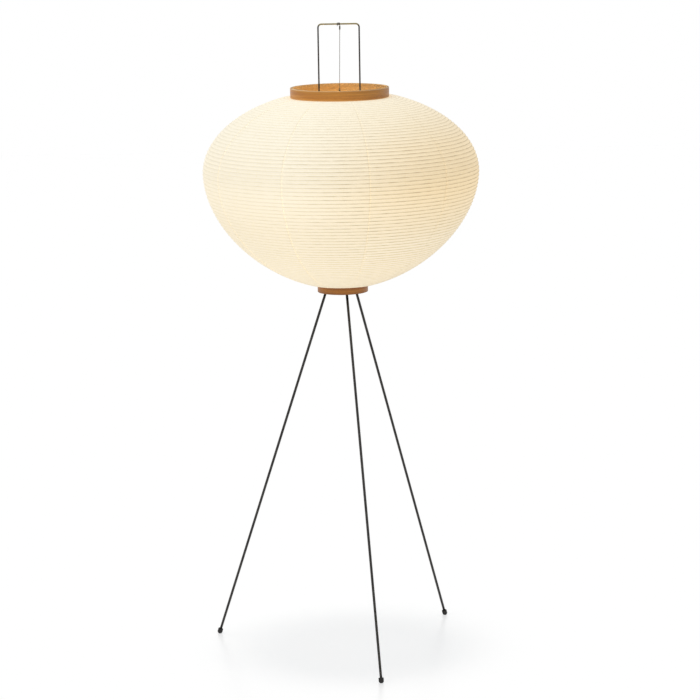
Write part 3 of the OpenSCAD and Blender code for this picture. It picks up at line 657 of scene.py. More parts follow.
# %% Grow ten strips of pleated paper
COLUMNS, LAP_COLUMNS, ROWS_PER_PLEAT = 20, 2, 6
STATIONS = PLEATS + 2
low_lip = Vector((paper_edge_radius(LOW_R), 0, PAPER_LOW - LOW_COLLAR))
top_lip = Vector((paper_edge_radius(TOP_R), 0, PAPER_TOP + TOP_COLLAR))
outline = point_mesh("shade_outline", [top_lip] + fold_points + [low_lip])

STRIP_TURN = 2 * math.pi / STRIPS
strip_sizes = {
    "First edge": FIRST_SEAM,
    "Strip turn": STRIP_TURN,
    "Lap turn": math.radians(0.6),
    "Sag": 0.9 * MM,
    "Lift": 0.38 * MM,
    "Unevenness": 0.3 * MM,
}
tree, given, result = new_tree("pleated_strip", **strip_sizes)
counts = {"Vertices X": COLUMNS + 1, "Vertices Y": STATIONS * ROWS_PER_PLEAT + 1}
sheet = add(tree, "GeometryNodeMeshGrid", {"Size X": 1.0, "Size Y": 1.0, **counts})
here = add(tree, "GeometryNodeInputPosition")
spot = add(tree, "ShaderNodeSeparateXYZ", {0: here})
across = add(tree, M, {0: spot.outputs["X"], 1: 0.5}, operation="ADD")
down = add(tree, M, {0: 0.5, 1: spot.outputs["Y"]}, operation="SUBTRACT")
down = add(tree, M, {0: down, 1: float(STATIONS)}, operation="MULTIPLY")

# Which two fold points a row lies between, and how far along; rows crowd towards the folds
before = add(tree, M, {0: add(tree, M, {0: down, 1: 0.001}, operation="ADD")}, operation="FLOOR")
before = add(tree, M, {0: before, 1: STATIONS - 1.0}, operation="MINIMUM")
share = add(tree, M, {0: down, 1: before}, operation="SUBTRACT")
wave = add(tree, M, {0: add(tree, M, {0: share, 1: 2 * math.pi}, operation="MULTIPLY")}, operation="SINE")
share = add(tree, M, {0: share, 1: add(tree, M, {0: wave, 1: 0.07}, operation="MULTIPLY")}, operation="SUBTRACT")
after = add(tree, M, {0: before, 1: 1.0}, operation="ADD")
looked_up = {0: given["Geometry"], 1: here}
upper = add(tree, "GeometryNodeSampleIndex", {**looked_up, "Index": before}, data_type="FLOAT_VECTOR")
lower = add(tree, "GeometryNodeSampleIndex", {**looked_up, "Index": after}, data_type="FLOAT_VECTOR")
on_line = add(tree, "ShaderNodeMix", {0: share, 4: upper, 5: lower}, data_type="VECTOR")
on_line = add(tree, "ShaderNodeSeparateXYZ", {0: on_line.outputs[1]})

# The way out of the shade is the chord of the pleat, turned by a right angle
chord = add(tree, "ShaderNodeVectorMath", {0: lower, 1: upper}, operation="SUBTRACT")
chord = add(tree, "ShaderNodeSeparateXYZ", {0: add(tree, "ShaderNodeVectorMath", {0: chord}, operation="NORMALIZE")})
out_r = add(tree, M, {0: chord.outputs["Z"], 1: -1.0}, operation="MULTIPLY")
out_z = chord.outputs["X"]

# Sag between the folds, none in the two glued edges, and a lift where the strip lies on its neighbour
arch = add(tree, M, {0: 1.0, 1: share}, operation="SUBTRACT")
arch = add(tree, M, {0: share, 1: arch}, operation="MULTIPLY")
arch = add(tree, M, {0: arch, 1: 4.0}, operation="MULTIPLY")
past_first = add(tree, M, {0: before, 1: 0.5}, operation="GREATER_THAN")
before_last = add(tree, M, {0: before, 1: STATIONS - 1.5}, operation="LESS_THAN")
pleated = add(tree, M, {0: past_first, 1: before_last}, operation="MULTIPLY")
sag = add(tree, M, {0: given["Sag"], 1: pleated}, operation="MULTIPLY")
sag = add(tree, M, {0: arch, 1: sag}, operation="MULTIPLY")
lap_start = 1 - LAP_COLUMNS / COLUMNS
lift = add(tree, "ShaderNodeMapRange", {0: across, 1: lap_start - 1 / COLUMNS, 2: lap_start})
lift = add(tree, M, {0: lift, 1: given["Lift"]}, operation="MULTIPLY")

# Turn the row round the axis, first through the strip and then through the overlap
in_strip = add(tree, "ShaderNodeMapRange", {0: across, 1: 0.0, 2: lap_start})
in_lap = add(tree, "ShaderNodeMapRange", {0: across, 1: lap_start, 2: 1.0})
turn = add(tree, M, {0: in_strip, 1: given["Strip turn"]}, operation="MULTIPLY")
turn = add(tree, M, {0: turn, 1: given["First edge"]}, operation="ADD")
lap_turn = add(tree, M, {0: in_lap, 1: given["Lap turn"]}, operation="MULTIPLY")
turn = add(tree, M, {0: turn, 1: lap_turn}, operation="ADD")
east = add(tree, M, {0: turn}, operation="COSINE")
north = add(tree, M, {0: turn}, operation="SINE")

# Handmade sheets are never quite even, so a slow noise pushes them out by a fraction of a millimetre
first = add(tree, "ShaderNodeCombineXYZ", {"X": east, "Y": north, "Z": on_line.outputs["Z"]})
rough = add(tree, "ShaderNodeTexNoise", {"Vector": first, "Scale": 9.0, "Detail": 2.0})
uneven = add(tree, M, {0: given["Unevenness"], 1: pleated}, operation="MULTIPLY")
rough = add(tree, M, {0: rough.outputs[0], 1: uneven}, operation="MULTIPLY")
push = add(tree, M, {0: lift, 1: sag}, operation="SUBTRACT")
push = add(tree, M, {0: push, 1: rough}, operation="ADD")
radius = add(tree, M, {0: out_r, 1: push}, operation="MULTIPLY")
radius = add(tree, M, {0: radius, 1: on_line.outputs["X"]}, operation="ADD")
level = add(tree, M, {0: out_z, 1: push}, operation="MULTIPLY")
level = add(tree, M, {0: level, 1: on_line.outputs["Z"]}, operation="ADD")
east = add(tree, M, {0: radius, 1: east}, operation="MULTIPLY")
north = add(tree, M, {0: radius, 1: north}, operation="MULTIPLY")
target = add(tree, "ShaderNodeCombineXYZ", {"X": east, "Y": north, "Z": level})

# The sheet's own chart, from 0 to 1 both ways, is kept as a UV map for the finish
row = add(tree, M, {0: down, 1: float(STATIONS)}, operation="DIVIDE")
chart = add(tree, "ShaderNodeCombineXYZ", {"X": across, "Y": row})
charted = {"Geometry": sheet, "Name": "UVMap", "Value": chart}
charted = add(tree, "GeometryNodeStoreNamedAttribute", charted, data_type="FLOAT2", domain="CORNER")
formed = add(tree, "GeometryNodeSetPosition", {"Geometry": charted, "Position": target})
soft = add(tree, "GeometryNodeSetShadeSmooth", {"Geometry": formed})
whole = add(tree, "GeometryNodeRealizeInstances", {"Geometry": soft})
coated = add(tree, "GeometryNodeSetMaterial", {"Geometry": whole, "Material": washi})
tree.links.new(coated.outputs[0], result.inputs[0])

# The real paper folds flat to 40 mm between the hoops; each strip here is grown open
for i in range(STRIPS):
    strip_sizes["First edge"] = FIRST_SEAM + STRIP_TURN * i
    strip = grown(f"paper_strip_{i + 1}", tree, outline, wall=PAPER_T, **strip_sizes)
    place(strip, SHADE_BODY, "paper", f"paper_panel_{i + 1}")
    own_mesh(strip)

# %% [markdown]
# ## Bamboo ribs
#
# Inside the paper lies one thin split strip of bamboo in each fold. They show where one looks down into the
# shade. The fine lines that they cast on the lit paper are painted shadow in the washi's finish. One small tree
# makes all 77: a circle is set on each point of a list, made as wide as that point asks, and turned into a strip.

# %% Bend 77 ribs
RIB_R, GLUE = 0.5 * MM, 0.1 * MM
rib_points = []
for k in range(1, PLEATS):
    run = (fold_points[k + 1] - fold_points[k - 1]).normalized()
    way_out = Vector((-run.z, 0, run.x))
    rib_points.append(fold_points[k] - way_out * (PAPER_T + RIB_R + GLUE))
tree, given, result = new_tree("bent_ribs", **{"Rib radius": RIB_R})
spot = add(tree, "ShaderNodeSeparateXYZ", {0: add(tree, "GeometryNodeInputPosition")})
size = add(tree, "ShaderNodeCombineXYZ", {"X": spot.outputs["X"], "Y": spot.outputs["X"], "Z": 1.0})
size = {"Geometry": given["Geometry"], "Name": "ring_size", "Value": size}
size = add(tree, "GeometryNodeStoreNamedAttribute", size, data_type="FLOAT_VECTOR", domain="POINT")
middle = add(tree, "ShaderNodeCombineXYZ", {"Z": spot.outputs["Z"]})
on_axis = add(tree, "GeometryNodeSetPosition", {"Geometry": size, "Position": middle})
circle = add(tree, "GeometryNodeCurvePrimitiveCircle", {"Resolution": 120, "Radius": 1.0})
named = add(tree, "GeometryNodeInputNamedAttribute", {"Name": "ring_size"}, data_type="FLOAT_VECTOR")
rings = {"Points": on_axis, "Instance": circle.outputs["Curve"], "Scale": named}
rings = add(tree, "GeometryNodeInstanceOnPoints", rings)
rings = add(tree, "GeometryNodeRealizeInstances", {"Geometry": rings})
section = add(tree, "GeometryNodeCurvePrimitiveCircle", {"Resolution": 6, "Radius": given["Rib radius"]})
strips = add(tree, "GeometryNodeCurveToMesh", {"Curve": rings, "Profile Curve": section.outputs["Curve"]})
whole = add(tree, "GeometryNodeRealizeInstances", {"Geometry": strips})
coated = add(tree, "GeometryNodeSetMaterial", {"Geometry": whole, "Material": bamboo})
tree.links.new(coated.outputs[0], result.inputs[0])
rib_places = point_mesh("rib_points", rib_points, edges=[])
ribs = grown("split_bamboo_ribs", tree, rib_places, **{"Rib radius": RIB_R})
place(ribs, SHADE_BODY, "bamboo", "bamboo_ribs")
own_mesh(ribs)

# %% [markdown]
# ## Hoops of bent wood
#
# Each hoop is two thin strips with the edge of the paper between them. A strip is steamed, bent round a
# former, and glued where its two thinned ends lie on each other, which leaves a slim step across the band. A
# sweep with its own inner and outer radius at every station can draw that joint, so it is written out in
# plain mesh code. It also lays a UV map in metres, along the band and round its section, for the grain.

# %% Bend the four strips
def bent_strip(name, out_r, thick, low, high, joint_at, lap_turn):
    edge, feather, glue, stations = 0.4 * MM, 0.3 * MM, 0.03 * MM, 176
    in_r = out_r - thick
    total = 2 * math.pi + lap_turn
    points, along = [], []
    corner = [math.radians(a) for a in (0, 30, 60, 90)]
    for i in range(stations + 1):
        s = total * i / stations
        inner, outer = in_r, out_r
        if s < lap_turn:
            outer = in_r + feather + (thick - feather) * s / lap_turn
        if s > 2 * math.pi:
            u = (s - 2 * math.pi) / lap_turn
            inner = in_r + feather + (thick - feather) * u + glue
            outer = max(out_r, inner + feather)
        bevel = min(edge, (outer - inner) * 0.3)
        around = []
        for cx, cz, start in ((outer, low, -90), (outer, high, 0), (inner, high, 90), (inner, low, 180)):
            mx = cx - bevel if cx == outer else cx + bevel
            mz = cz + bevel if cz == low else cz - bevel
            turns = [math.radians(start) + a for a in corner]
            around += [(mx + bevel * math.cos(a), mz + bevel * math.sin(a)) for a in turns]
        at = joint_at + s
        points += [(r * math.cos(at), r * math.sin(at), z) for r, z in around]
        along.append(s * (in_r + out_r) / 2)
    n = len(around)
    faces, chart = [], []
    lengths = [0.0]
    for (r0, z0), (r1, z1) in zip(around, around[1:] + around[:1]):
        lengths.append(lengths[-1] + math.hypot(r1 - r0, z1 - z0))
    for i in range(stations):
        for j in range(n):
            k = (j + 1) % n
            faces.append((i * n + j, (i + 1) * n + j, (i + 1) * n + k, i * n + k))
            chart += [(along[i + u], lengths[j + v]) for u, v in ((0, 0), (1, 0), (1, 1), (0, 1))]
    for i, order in ((0, range(n)), (stations, range(n - 1, -1, -1))):
        faces.append([i * n + j for j in order])
        chart += [(0.001 * j, 0.001 * j) for j in range(n)]
    piece = mesh_object(name, points, faces)
    layer = piece.data.uv_layers.new(name="UVMap")
    for loop, spot in zip(layer.data, chart):
        loop.uv = spot
    return piece


BACK, LINING_TURN = math.radians(97), 2.4
BAND_LAP, LINING_LAP = 30 * MM, 25 * MM
for node, body, wood in (("top_hoop", SHADE_BODY, outer_wood), ("bottom_hoop", "shade_bottom", lower_wood)):
    low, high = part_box(f"{node}_outer")
    out = bent_strip(f"{node}_band", high.x, STRIP_OUT, low.z, high.z, BACK, BAND_LAP / high.x)
    place(out, body, "bent_wood", f"{node}_outer", material=wood)
    low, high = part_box(f"{node}_inner")
    joint_at = BACK + LINING_TURN
    lining = bent_strip(f"{node}_lining", high.x, STRIP_IN, low.z, high.z, joint_at, LINING_LAP / high.x)
    place(lining, body, "inner_wood", f"{node}_inner", material=inner_wood)

# %% [markdown]
# ## Wires
#
# The crosswire holds the shade by the hoop, and a thin wire hooks over the hairpin above it. Its top is bent
# to and fro over the bar as a small saddle, open below, so that the shade lifts off. The end of such a wire
# is wound back round itself in a few tight turns. A wire is a path with a thickness, so a short tree makes it
# from a list of points, and the windings are a helix in that list. The crosswire is a plain rod already, and
# only gets its finish.

# %% Wind the hanger and lay the crosswire
WIRE_R, HOOK_R, EYE_R = 0.5 * MM, 2.3 * MM, 1.6 * MM
tree, given, result = new_tree("thin_wire", **{"Wire radius": WIRE_R})
line = add(tree, "GeometryNodeMeshToCurve", {"Mesh": given["Geometry"]})
circle = {"Resolution": 10, "Radius": given["Wire radius"]}
circle = add(tree, "GeometryNodeCurvePrimitiveCircle", circle).outputs["Curve"]
tube = {"Curve": line, "Profile Curve": circle, "Fill Caps": True}
tube = add(tree, "GeometryNodeCurveToMesh", tube)
soft = add(tree, "GeometryNodeSetShadeSmooth", {"Geometry": tube})
whole = add(tree, "GeometryNodeRealizeInstances", {"Geometry": soft})
coated = add(tree, "GeometryNodeSetMaterial", {"Geometry": whole, "Material": annealed})
tree.links.new(coated.outputs[0], result.inputs[0])


def helix(start, way, side, radius, length, turns, steps=16):
    other = way.cross(side)
    count = round(turns * steps)
    return [
        start + way * (length * i / count)
        + (side * math.cos(2 * math.pi * i / steps) + other * math.sin(2 * math.pi * i / steps)) * radius
        for i in range(count + 1)
    ]


cross_low, cross_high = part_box("ring_crosswire")
pin_low, pin_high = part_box("wire_hairpin")
PIN_R = 1.5 * MM
cross_y, cross_z = (cross_low.y + cross_high.y) / 2, (cross_low.z + cross_high.z) / 2
bar_z = pin_high.z - PIN_R

# Five passes over the bar, 1.2 mm apart, with a small bend under each gap between two of them
PASSES, APART, SIDE_H = 5, 1.2 * MM, 1.2 * MM
GAP_R = APART / 2
hook_tip = [Vector((-(PASSES // 2) * APART, -HOOK_R, bar_z - 4 * MM))]
hook_bend = []
over_bar = [math.pi * i / 16 for i in range(17)]
under_gap = [math.pi * i / 6 for i in range(1, 6)]
for turn in range(PASSES):
    x, way = (turn - PASSES // 2) * APART, 1 if turn % 2 == 0 else -1
    hook_bend += [Vector((x, -HOOK_R * way, bar_z - SIDE_H))]
    hook_bend += [Vector((x, -HOOK_R * way * math.cos(a), bar_z + HOOK_R * math.sin(a))) for a in over_bar]
    hook_bend += [Vector((x, HOOK_R * way, bar_z - SIDE_H))]
    if turn < PASSES - 1:
        hook_bend += [
            Vector((x + GAP_R * (1 - math.cos(a)), HOOK_R * way, bar_z - SIDE_H - GAP_R * math.sin(a)))
            for a in under_gap
        ]
eye_front = Vector((0, cross_y - EYE_R, cross_z))
way_down = (eye_front - hook_bend[-1]).normalized()
aside = Vector((1, 0, 0))
eye_bend = [
    Vector((0.25 * MM * math.sin(a / 2), cross_y - EYE_R * math.cos(a), cross_z - EYE_R * math.sin(a)))
    for a in [2 * math.pi * i / 24 for i in range(24)]
]
WOUND_START, WOUND_L, WOUND_TURNS = 2.5 * MM, 7 * MM, 6.5
wound_from = eye_front - way_down * WOUND_START
wound = helix(wound_from, -way_down, aside, 2 * WIRE_R, WOUND_L, WOUND_TURNS)
loose_from = hook_bend[-1] + way_down * WOUND_START
loose = helix(loose_from, way_down, aside, 2 * WIRE_R, WOUND_L, WOUND_TURNS)
straight = [hook_bend[-1].lerp(eye_front, i / 6) for i in range(1, 6)]
main = hook_tip + hook_bend + straight + eye_bend + wound
edges = [(i, i + 1) for i in range(len(main + loose) - 1) if i != len(main) - 1]
both = point_mesh("hanger_points", main + loose, edges)
hanger = grown("hanging_wire", tree, both, **{"Wire radius": WIRE_R})
place(hanger, SHADE_BODY, "dark_wire", "hanger_wire")
repaint(annealed, "ring_crosswire")

# %% [markdown]
# ## Nuts
#
# Seven nuts of two sizes hold the frame together. A real hexagon nut is turned to a cone on both faces before
# the flats show, which rounds the six corners. The height of each point of the outline follows from its
# radius, so a single ring of formula points draws that chamfer. Geometry Nodes then set a nut on every place
# in a list, each turned a little differently, as hands leave them.

# %% Make two nuts and set them in place
def nut(name, flats, height, hole):
    chamfer_r, half, edge = flats / 2 * 0.97, height / 2, 0.35 * MM
    points, rings, around = [], [], 72

    def ring(r_of, z_of):
        rings.append(len(points))
        for i in range(around):
            a = 2 * math.pi * i / around
            hexagon = flats / 2 / math.cos((a + math.pi / 6) % (math.pi / 3) - math.pi / 6)
            r = r_of(hexagon)
            points.append((r * math.cos(a), r * math.sin(a), z_of(r)))

    def cone(r):
        return half - max(0, r - chamfer_r) * math.tan(math.radians(30))

    for side in (-1, 1):
        steps = [
            (lambda h: hole, lambda r: side * (half - edge)),
            (lambda h: hole + edge, lambda r: side * half),
            (lambda h: chamfer_r, lambda r: side * half),
            (lambda h: h, lambda r: side * cone(r)),
        ]
        for r_of, z_of in steps if side < 0 else reversed(steps):
            ring(r_of, z_of)
    faces = []
    for a, b in zip(rings, rings[1:] + rings[:1]):
        faces += [(a + i, a + (i + 1) % around, b + (i + 1) % around, b + i) for i in range(around)]
    made = mesh_object(name, points, faces)
    made.data.set_sharp_from_angle(angle=math.radians(25))
    made.data.materials.append(zinc)
    return made


def set_nuts(name, pattern, spots, *replaced):
    tree, given, result = new_tree(f"{name}_tree", Nut=pattern)
    shape = add(tree, "GeometryNodeObjectInfo", {"Object": given["Nut"]})
    angle = add(tree, "FunctionNodeRandomValue", {2: 0.0, 3: math.pi / 3, "Seed": 7}, data_type="FLOAT")
    turned = add(tree, "ShaderNodeCombineXYZ", {"Z": angle.outputs[1]})
    nuts = {"Points": given["Geometry"], "Instance": shape.outputs["Geometry"], "Rotation": turned}
    nuts = add(tree, "GeometryNodeInstanceOnPoints", nuts)
    whole = add(tree, "GeometryNodeRealizeInstances", {"Geometry": nuts})
    coated = add(tree, "GeometryNodeSetMaterial", {"Geometry": whole, "Material": zinc})
    tree.links.new(coated.outputs[0], result.inputs[0])
    made = grown(name, tree, point_mesh(f"{name}_spots", spots, edges=[]), Nut=pattern)
    bpy.data.objects.remove(pattern)
    return place(made, "stand", "zinc_steel", *replaced)


plate_low, plate_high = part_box("hub_plate")
cap_low, cap_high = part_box("holder_cap")
small, large = 2.4 * MM, 3 * MM
PIN_X = pin_high.x - PIN_R
set_nuts(
    "hairpin_hex_nuts", nut("small_nut", flats=5.5 * MM, height=small, hole=1.6 * MM),
    [(side * PIN_X, 0, z) for side in (-1, 1) for z in (plate_low.z - small / 2, plate_high.z + small / 2)],
    "hairpin_nuts",
)
set_nuts(
    "tube_hex_nuts", nut("large_nut", flats=14 * MM, height=large, hole=5.1 * MM),
    [(0, 0, z) for z in (plate_low.z - large / 2, plate_high.z + large / 2, cap_low.z - large / 2)],
    "nipple_nuts",
)

# %% [markdown]
# ## Stand
#
# The hairpin, the plate and the three sockets have the right shape already, so they only get their finish: a
# powder coat on the plate and its welded sockets, and black steel on the hairpin, with a painted glow along its
# bar where the bulb lights it from below. What a solid model leaves out is the weld. It is a row of small
# overlapping ripples where a sleeve meets the plate, drawn here as a closed path whose radius swells and
# shrinks along its length.

# %% Coat the stand and run the weld beads
repaint(powder, "hub_plate", "leg_socket_1", "leg_socket_2", "leg_socket_3")
repaint(hairpin_finish, "wire_hairpin")

LEGS_MEET, SPLAY, FIRST_LEG = 0.810, math.radians(18.6523), math.radians(-77)


def leg_frame(i):
    turn = Matrix.Rotation(FIRST_LEG + 2 * math.pi / 3 * (i - 1), 4, "Z")
    return turn @ Matrix.Translation((0, 0, LEGS_MEET)) @ Matrix.Rotation(math.pi - SPLAY, 4, "Y")


SOCKET_R, BEAD_R, BEAD_LIFT, RIPPLES = 4.7 * MM, 0.8 * MM, 0.15 * MM, 24.0
tree, given, result = new_tree("weld_bead", **{"Bead radius": BEAD_R, "Ripples": RIPPLES})
line = add(tree, "GeometryNodeMeshToCurve", {"Mesh": given["Geometry"]})
place_on = add(tree, "GeometryNodeSplineParameter")
beat = add(tree, M, {0: place_on.outputs["Factor"], 1: given["Ripples"]}, operation="MULTIPLY")
beat = add(tree, M, {0: beat}, operation="FRACT")
swell = add(tree, "ShaderNodeMapRange", {0: beat, 3: 1.15, 4: 0.8})
line = add(tree, "GeometryNodeSetCurveRadius", {"Curve": line, "Radius": swell})
section = add(tree, "GeometryNodeCurvePrimitiveCircle", {"Resolution": 8, "Radius": given["Bead radius"]})
bead = add(tree, "GeometryNodeCurveToMesh", {"Curve": line, "Profile Curve": section.outputs["Curve"]})
soft = add(tree, "GeometryNodeSetShadeSmooth", {"Geometry": bead})
whole = add(tree, "GeometryNodeRealizeInstances", {"Geometry": soft})
coated = add(tree, "GeometryNodeSetMaterial", {"Geometry": whole, "Material": powder})
tree.links.new(coated.outputs[0], result.inputs[0])
for i in (1, 2, 3):
    path, frame_of, steps = [], leg_frame(i), 144
    for j in range(steps):
        a = 2 * math.pi * j / steps
        on_sleeve = frame_of @ Vector((SOCKET_R * math.cos(a), SOCKET_R * math.sin(a), 0))
        along = frame_of.to_3x3() @ Vector((0, 0, 1))
        path.append(on_sleeve + along * ((plate_high.z + BEAD_LIFT - on_sleeve.z) / along.z))
    source = point_mesh(f"weld_path_{i}", path, [(j, (j + 1) % steps) for j in range(steps)])
    bead = grown(f"weld_{i}", tree, source, **{"Bead radius": BEAD_R, "Ripples": RIPPLES})
    place(bead, "stand", "black_steel")

# %% [markdown]
# ## Screw threads
#
# The legs, the tube, the bulb's cap and its socket all have a thread. On a lathe profile, a helix is just a
# radius that rises and falls with height and slips by one pitch in each turn. The same function makes the
# fine cut threads of steel and the deep rolled wave of a lamp cap, with a different pitch and depth.

# %% Cut the threads on the legs and push on their feet
def thread(pitch, depth, low, high):
    def shape(r, z, turn):
        if not low < z < high or r < 1.2 * depth:
            return r, z
        fade = min(1.0, (z - low) / pitch, (high - z) / pitch)
        wave = 0.5 - 0.5 * math.cos(2 * math.pi * z / pitch - turn)
        return r - depth * wave * fade, z

    return shape


def rows(low, high, step):
    count = max(1, round((high - low) / step))
    return [low + (high - low) * i / count for i in range(count + 1)]


# Along a leg, z grows downwards from the place where the lines of the three legs meet. The rod ends in the
# middle of its round foot, and its shoulder sits in the last 5 mm of the socket.
ROD_R, EDGE_R, THREAD_R, TIP_R = 2.5 * MM, 2.2 * MM, 2 * MM, 1.5 * MM
LEG_PITCH, LEG_THREAD_L, SEAT_L, SEAT_GAP = 0.7 * MM, 13 * MM, 5 * MM, 0.1 * MM
FOOT_R, FOOT_HOLE_R, FOOT_SLEEVE_L, FOOT_MIDDLE_Z = 5 * MM, 2.6 * MM, 6 * MM, 4.2 * MM
leg_low = (LEGS_MEET - FOOT_MIDDLE_Z) / math.cos(SPLAY)
seat = (LEGS_MEET - plate_high.z) / math.cos(SPLAY) - SEAT_L + SEAT_GAP
top = seat - LEG_THREAD_L
cut = thread(LEG_PITCH, 0.35 * MM, top + 0.5 * MM, seat - 0.5 * MM)
for i in (1, 2, 3):
    levels = rows(top + 0.6 * MM, seat - 0.6 * MM, LEG_PITCH / 6)
    profile = [(0, top), (TIP_R, top), (THREAD_R, top + 0.5 * MM)] + [(THREAD_R, z) for z in levels]
    profile += [(THREAD_R, seat), (EDGE_R, seat), (ROD_R, seat + 0.3 * MM)]
    profile += [(ROD_R, leg_low - 0.3 * MM), (EDGE_R, leg_low), (0, leg_low)]
    rod = spun(f"leg_rod_{i}", profile, 32, cut, leg_frame(i))
    rod.data.set_sharp_from_angle(angle=math.radians(50))
    place(rod, f"leg_{i}_body", "black_steel", f"leg_{i}", material=blackened)

    mouth, lip = leg_low - FOOT_SLEEVE_L, 0.8 * MM
    profile = [(0, leg_low), (FOOT_HOLE_R, leg_low), (FOOT_HOLE_R, mouth + 0.3 * MM), (2.9 * MM, mouth)]
    profile += [(FOOT_R - lip + lip * math.sin(a), mouth + lip - lip * math.cos(a)) for a in quarter_turn(5)]
    profile += [(FOOT_R * math.cos(a), leg_low + FOOT_R * math.sin(a)) for a in quarter_turn(16)[:-1]]
    profile += [(0, leg_low + FOOT_R)]
    foot = spun(f"rubber_foot_{i}", profile, 64, frame_of=leg_frame(i))
    for vertex in foot.data.vertices:
        vertex.co.z = max(0.0, vertex.co.z)
    foot.data.set_sharp_from_angle(angle=math.radians(50))
    place(foot, f"leg_{i}_body", "rubber", f"leg_foot_{i}", material=rubber)

# %% [markdown]
# ## Lamp holder and bulb
#
# The holder is two pressed cups, the upper one with ridges to grip. Both are lathe profiles, and the ridges
# are a small change of radius with the angle. The bulb's cap is pressed from sheet, so its thread is a round
# wave with a pitch of 3.6 mm, and the brass sleeve in the holder carries a wave of the same pitch.

# %% Turn the holder, the sleeve, the tube and the gland
def fluted(low, high, depth, count):
    def shape(r, z, turn):
        if low < z < high:
            fade = min(1.0, (z - low) / RIDGE_END, (high - z) / RIDGE_END)
            return r - depth * fade * (0.5 - 0.5 * math.cos(count * turn)), z
        return r, z

    return shape


# Change only the wall outside a radius, and leave the bore round
def beyond(limit, shape):
    return lambda r, z, turn: shape(r, z, turn) if r > limit else (r, z)


shell_low, shell_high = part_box("holder_shell")
R, WALL, BASE_R, EDGE, TUBE_HOLE_R, RIDGE_END = shell_high.x, 1.8 * MM, 3 * MM, 0.4 * MM, 5.1 * MM, 1.5 * MM
profile = [(TUBE_HOLE_R, cap_low.z), (R - BASE_R, cap_low.z)]
profile += [
    (R - BASE_R + BASE_R * math.sin(a), cap_low.z + BASE_R - BASE_R * math.cos(a))
    for a in quarter_turn(6)[1:]
]
profile += [(R, cap_high.z - EDGE), (R - EDGE, cap_high.z), (R - WALL, cap_high.z)]
profile += [(R - WALL, cap_low.z + WALL), (TUBE_HOLE_R, cap_low.z + WALL)]
place(spun("holder_cup", profile), "stand", "black_plastic", "holder_cap", material=phenolic)

SCREW_R, RIM_R = 14.1 * MM, 1.5 * MM
grip_low, grip_high = shell_low.z + 3 * MM, shell_high.z - 5 * MM
profile = [(R - WALL, shell_low.z), (R - EDGE, shell_low.z), (R, shell_low.z + EDGE)]
profile += [(R, z) for z in rows(grip_low, grip_high, 0.75 * MM)]
profile += [(R, shell_high.z - 2 * MM)]
profile += [
    (R - RIM_R + RIM_R * math.cos(a), shell_high.z - RIM_R + RIM_R * math.sin(a)) for a in quarter_turn(5)
]
profile += [(SCREW_R + EDGE, shell_high.z), (SCREW_R, shell_high.z - EDGE)]
profile += [(SCREW_R, shell_high.z - WALL), (R - WALL, shell_high.z - WALL)]
ridges = fluted(grip_low, grip_high, 0.6 * MM, 48)
sleeve = spun("holder_sleeve", profile, 288, beyond(17 * MM, ridges))
place(sleeve, "stand", "black_plastic", "holder_shell", material=phenolic)

LAMP_PITCH, BRASS_OUT_R, BRASS_IN_R = 3.6 * MM, 14.0 * MM, 13.6 * MM
low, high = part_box("screw_shell")
levels = rows(low.z, high.z, LAMP_PITCH / 10)
profile = [(BRASS_OUT_R, z) for z in levels] + [(BRASS_IN_R, z) for z in reversed(levels)]
lamp_sleeve = spun("threaded_sleeve", profile, 72, thread(LAMP_PITCH, 0.35 * MM, low.z, high.z))
place(lamp_sleeve, "stand", "brass", "screw_shell", material=brass)

low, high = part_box("holder_nipple")
TUBE_R, TUBE_END_R, TUBE_BORE_R, TUBE_PITCH = 5 * MM, 4.5 * MM, 3.5 * MM, 1.0 * MM
levels = rows(low.z + 0.5 * MM, high.z - 0.5 * MM, TUBE_PITCH / 6)
profile = [(TUBE_BORE_R, low.z), (TUBE_END_R, low.z)] + [(TUBE_R, z) for z in levels]
profile += [(TUBE_END_R, high.z), (TUBE_BORE_R, high.z)]
cut = thread(TUBE_PITCH, 0.5 * MM, low.z + 0.4 * MM, high.z - 0.4 * MM)
tube = spun("threaded_tube", profile, 40, beyond(4.6 * MM, cut))
place(tube, "stand", "zinc_steel", "holder_nipple", material=zinc)

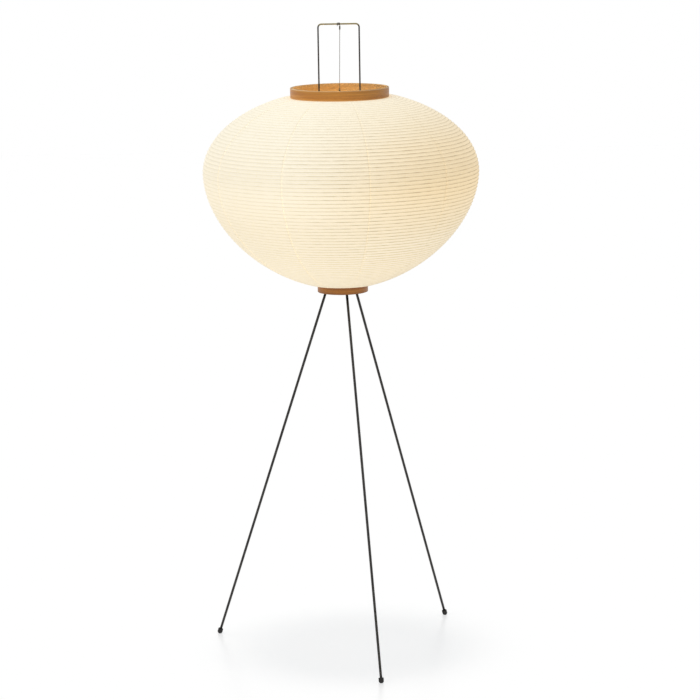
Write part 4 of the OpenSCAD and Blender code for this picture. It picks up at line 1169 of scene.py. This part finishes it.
low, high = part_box("cord_gland")
R, CORD_HOLE_R, lip, floor_z = high.x, 3.1 * MM, 0.7 * MM, low.z + 2.5 * MM
profile = [(CORD_HOLE_R, floor_z), (CORD_HOLE_R, low.z + lip)]
profile += [
    (CORD_HOLE_R + lip - lip * math.cos(a), low.z + lip - lip * math.sin(a)) for a in quarter_turn(4)[1:]
]
profile += [(R - 1 * MM, low.z), (R, low.z + 1 * MM), (R, high.z - 1.5 * MM), (R - 0.5 * MM, high.z)]
profile += [(TUBE_HOLE_R, high.z), (TUBE_HOLE_R, floor_z)]


def grip(r, z, turn):
    return r - 0.35 * MM * (0.5 - 0.5 * math.cos(24 * turn)), z


gland = spun("cord_bush", profile, 96, beyond(R - 0.1 * MM, grip))
place(gland, "stand", "black_plastic", "cord_gland", material=phenolic)
repaint(porcelain, "holder_insulator")
repaint(brass, "centre_contact", "bulb_contact")

# %% Roll the bulb's cap and light the glass
low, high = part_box("bulb_cap")
R, END_R, END_H = high.x, 8 * MM, 3 * MM
levels = rows(low.z + 4 * MM, high.z - 3 * MM, LAMP_PITCH / 10)
profile = [(0, low.z), (END_R, low.z), (R - 1.2 * MM, low.z + 2.6 * MM)] + [(R, z) for z in levels]
profile += [(R, high.z), (R - 0.5 * MM, high.z)] + [(R - 0.9 * MM, z) for z in reversed(levels)]
profile += [(END_R, low.z + END_H), (0, low.z + END_H)]
roll = thread(LAMP_PITCH, 0.8 * MM, low.z + 3.5 * MM, high.z - 2 * MM)
cap = spun("threaded_lamp_cap", profile, 72, beyond(11 * MM, roll))
place(cap, "bulb", "aluminium", "bulb_cap", material=aluminium)
repaint(etched, "bulb_glass")

# %% [markdown]
# ## Sizes at the end
#
# The looks must not change the size of the lamp, so the box of the solids and the box of the finished
# pieces are printed side by side.

# %% Print the sizes of the solids and of the finished pieces
seen_bounds = [list(corner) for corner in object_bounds()]
for name, (a, b) in (("solids", cad_bounds), ("pieces", seen_bounds)):
    print(name, [round((hi - lo) * 1000, 1) for lo, hi in zip(a, b)], "mm")
